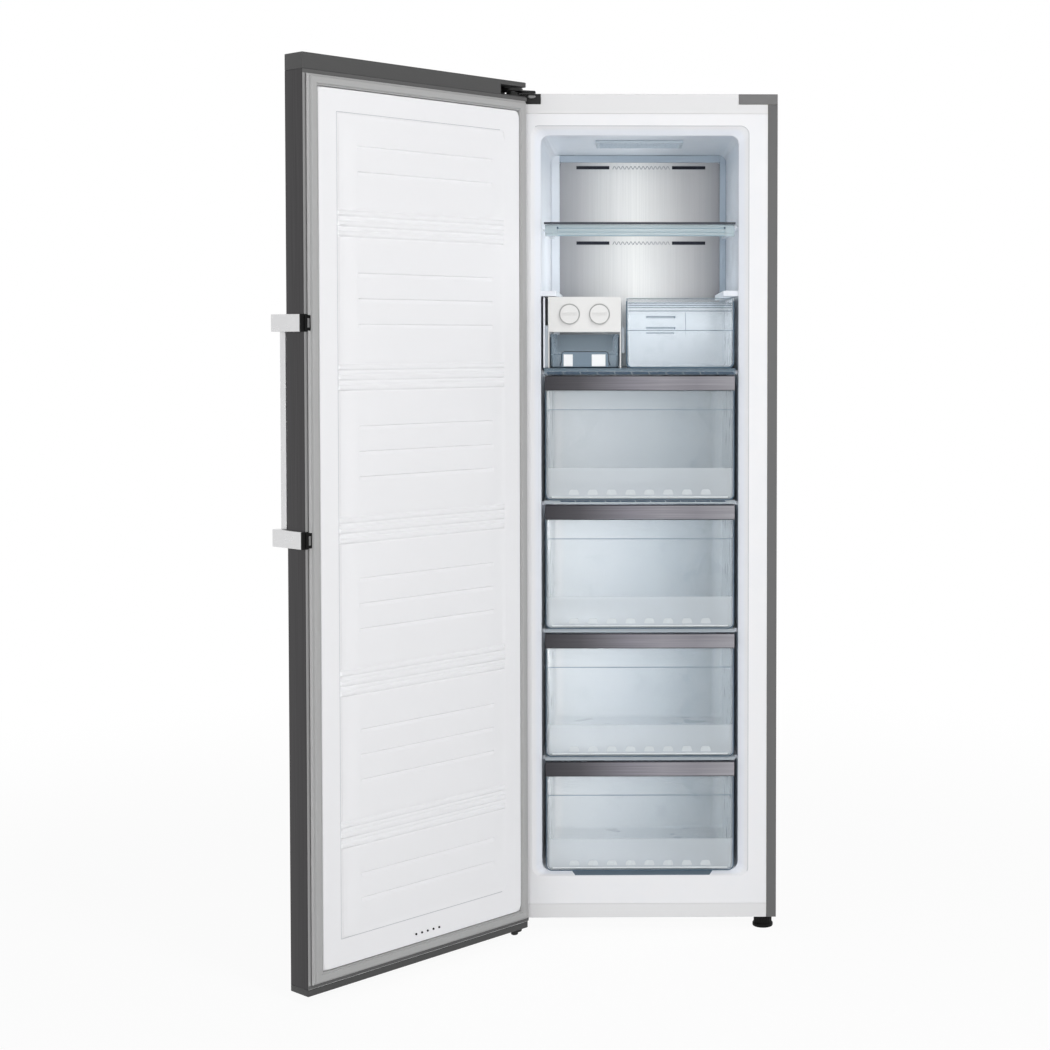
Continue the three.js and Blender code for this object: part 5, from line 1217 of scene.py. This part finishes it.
def field_cuts():
    """Where the field is cut across x and across z, so that its faces follow field_height()."""
    edge = (0.5, 1.5, 2.5, 3.5, 5, 6.5, 8, 9, 10, 14, 18, 22, 30, 38, 46, 50)
    groove_end = (-0.6, 0, 1.3, 2.7, 4, 4.6)
    cuts = []
    for ends in (FIELD_X, FIELD_Z):
        cuts.append([ends[0] + step for step in edge] + [ends[1] - step for step in edge])
    cuts[0] += [GROOVE_X[0] + step for step in groove_end] + [GROOVE_X[1] - step for step in groove_end]
    for ridge in RIDGES:
        for step in (1.5, 2.5, 3.5, 4.5, 5.5, 6.5, 7.8, 9):
            cuts[1] += [ridge - step, ridge + step]
    for band in BANDS:
        cuts[1] += [band + step for step in (-30.6, -30, -10, 10, 30, 30.6)]
    for groove in GROOVES:
        cuts[1] += [groove + step for step in (-5.1, -4.5, 2.9, 5.3, 5.9)]
    return cuts


def door_field():
    """The liner's field: it lies in a sunk edge, with bands of three ridges, and grooves that drop at their
    top and slope out again. Along its top, foot and right side runs a grey line of painted shade."""
    face_y = door_liner()
    bm = bmesh.new()
    sheet(bm, FIELD_X[1] - FIELD_X[0] + 1, FIELD_Z[1] - FIELD_Z[0] + 1)
    bmesh.ops.rotate(bm, matrix=Matrix.Rotation(-math.pi / 2, 3, "X"), verts=bm.verts)
    bmesh.ops.translate(bm, vec=(sum(FIELD_X) / 2, 0, sum(FIELD_Z) / 2), verts=bm.verts)
    for axis, places in zip((0, 2), field_cuts()):
        for place in sorted(places):
            cut(bm, place, axis)
    for vertex in bm.verts:
        vertex.co.y = face_y + field_height(vertex.co.x, vertex.co.z)
    finished(bm, "door_field", "door_liner", "door_liner")

    left, right = FIELD_X[0] + 12, FIELD_X[1]
    middle_x, middle_z = (left + right) / 2, sum(FIELD_Z) / 2
    # Painted shade: grey lines along the field's top, foot and right side.
    blocks("door_field_shade_lines", "mouth_grey", "door_liner", [
        ((x - wide / 2, face_y - 0.4, z - tall / 2), (x + wide / 2, face_y + 0.2, z + tall / 2))
        for x, z, wide, tall in (
            (middle_x, FIELD_Z[1], right - left, 1.2), (middle_x, FIELD_Z[0], right - left, 1.4),
            (right, middle_z, 1.0, FIELD_Z[1] - FIELD_Z[0]),
        )
    ])


def door_seal():
    """The door's magnetic seal: a foot, a bellows with folds and a magnet pocket, mitred at the corners."""
    low, high = box("door_gasket")
    centre = (low + high) / 2
    half = (high - low) / 2
    # Inset from the seal's outline, and rise over its foot.
    profile = [(0, 0.4), (0, 2.4), (1, 3.6), (3.2, 4), (4, 4.8), (4.6, 9.4), (5.6, 11), (7.2, 11.4),
               (16.6, 11.4), (17.8, 10.8), (18.6, 8.8), (19.4, 8.2), (20.2, 9), (21.2, 9), (22, 7.8),
               (22, 0.4), (11, 0.2)]

    def placed(corners, inset, rise):
        for vertex in corners:
            side = math.copysign(half.x - inset, vertex.co.x - centre.x)
            up = math.copysign(half.z - inset, vertex.co.z - centre.z)
            vertex.co = Vector((centre.x + side, low.y + rise, centre.z + up))

    bm = bmesh.new()
    sides = ((-1, -1), (1, -1), (1, 1), (-1, 1))
    corners = [bm.verts.new(centre + Vector((x * half.x, 0, z * half.z))) for x, z in sides]
    ring = [bm.edges.new(pair) for pair in zip(corners, corners[1:] + corners[:1])]
    placed(corners, *profile[0])
    for inset, rise in profile[1:] + profile[:1]:
        made = bmesh.ops.extrude_edge_only(bm, edges=ring)["geom"]
        ring = [part for part in made if isinstance(part, bmesh.types.BMEdge)]
        placed([part for part in made if isinstance(part, bmesh.types.BMVert)], inset, rise)
    bmesh.ops.remove_doubles(bm, verts=bm.verts, dist=WELD)
    bmesh.ops.recalc_face_normals(bm, faces=bm.faces)
    finished(bm, "door_seal", "gasket", "door_gasket", instead=True, soft=0.35)


def door_plugs():
    """Five small plugs low on the door's liner."""
    face = box("door_liner")[1].y
    start = box("door_panel")[0].x + 266
    bm = bmesh.new()
    for place in range(5):
        lathe(bm, [(0, 0.9), (1.2, 0.8), (2.0, 0.3), (2.2, -0.5), (2.2, -1.5), (0, -1.5)],
              (start + 15.5 * place, face - 1.0, 80), (0, 1, 0), 16)
    finished(bm, "door_plugs", "black_plastic", "door_liner")


def make_door():
    rounded_copy("door_top_cap", "door_cap", 0.8)
    rounded_copy("door_bottom_cap", "door_foot_cap", 0.8)
    rounded_copy("handle_bar", "chrome", 1.0)
    door_field()
    low, high = box("door_panel")
    bm = cad_copy("door_panel")
    # The fold over the inner edge takes the skin's lighter copy: painted reflection.
    mark(bm, lambda at, _: at.y > high.y - 0.2)
    finished(bm, "door_panel_shell", ["door_steel", "door_fold_reflection"], "door_panel", instead=True, soft=0.3)
    door_seal()
    door_plugs()
    seal_low, seal_high = box("door_gasket")
    blocks("door_cap_lips", "cap_lip", "door_top_cap", [
        ((low.x + 1, high.y - 0.3, start), (high.x - 1, high.y + 0.5, end))
        for start, end in ((low.z + 1, seal_low.z - 0.2), (seal_high.z + 0.2, high.z))
    ], soft=0.2)
    for node in ("handle_bracket_bottom", "handle_bracket_top"):
        handle_bracket(node)


def handle_bracket(node):
    """A plated bracket, black where it hooks over the door's inner edge, with a clip and its grey cover."""
    low, high = box(node)
    middle = (low.z + high.z) / 2
    side, inner, _ = box("door_panel")[1]
    hook = inner - 2.6
    bm = cad_copy(node)
    cut(bm, hook, 1)
    mark(bm, lambda at, _: at.y > hook)
    finished(bm, node + "_shell", ["chrome", "black_plastic"], node, instead=True, soft=1.4, segments=3)
    bm = bmesh.new()
    between(bm, (side - 16, inner - 0.5, middle - 15), (side + 1.5, inner + 5.5, middle + 15))
    rounded(bm, [e for e in along(bm, 1) if e.verts[0].co.x < side - 5], 5, 5)
    finished(bm, node + "_clip", "black_plastic", node, slot="hinge_black", soft=1.0, segments=3)
    blocks(node + "_cover", "grey_plastic", node, [
        ((side - 9.5, inner + 5.0, middle - 9), (side - 4.5, inner + 6.2, middle + 9)),
    ], slot="hinge_black", soft=0.8, segments=3)


def dress_hidden():
    """Finishes for the CAD nodes that keep their own shape."""
    for finish, nodes in {
        "foam": ["insulation", "door_foam"],
        "fins": ["evaporator"],
        "black_plastic": ["fan_motor", "top_hinge_bush", "bottom_hinge_bush"],
        "grey_plastic": ["fan_blade"],
        "pin_steel": ["roller_axle_left", "roller_axle_right"],
    }.items():
        for node in nodes:
            NODES[node].data.materials.clear()
            NODES[node].data.materials.append(FINISH[finish])


make_camera()
make_studio()
dress_hidden()
make_cabinet()
make_shelves()
make_drawers()
make_ice_maker()
make_door()
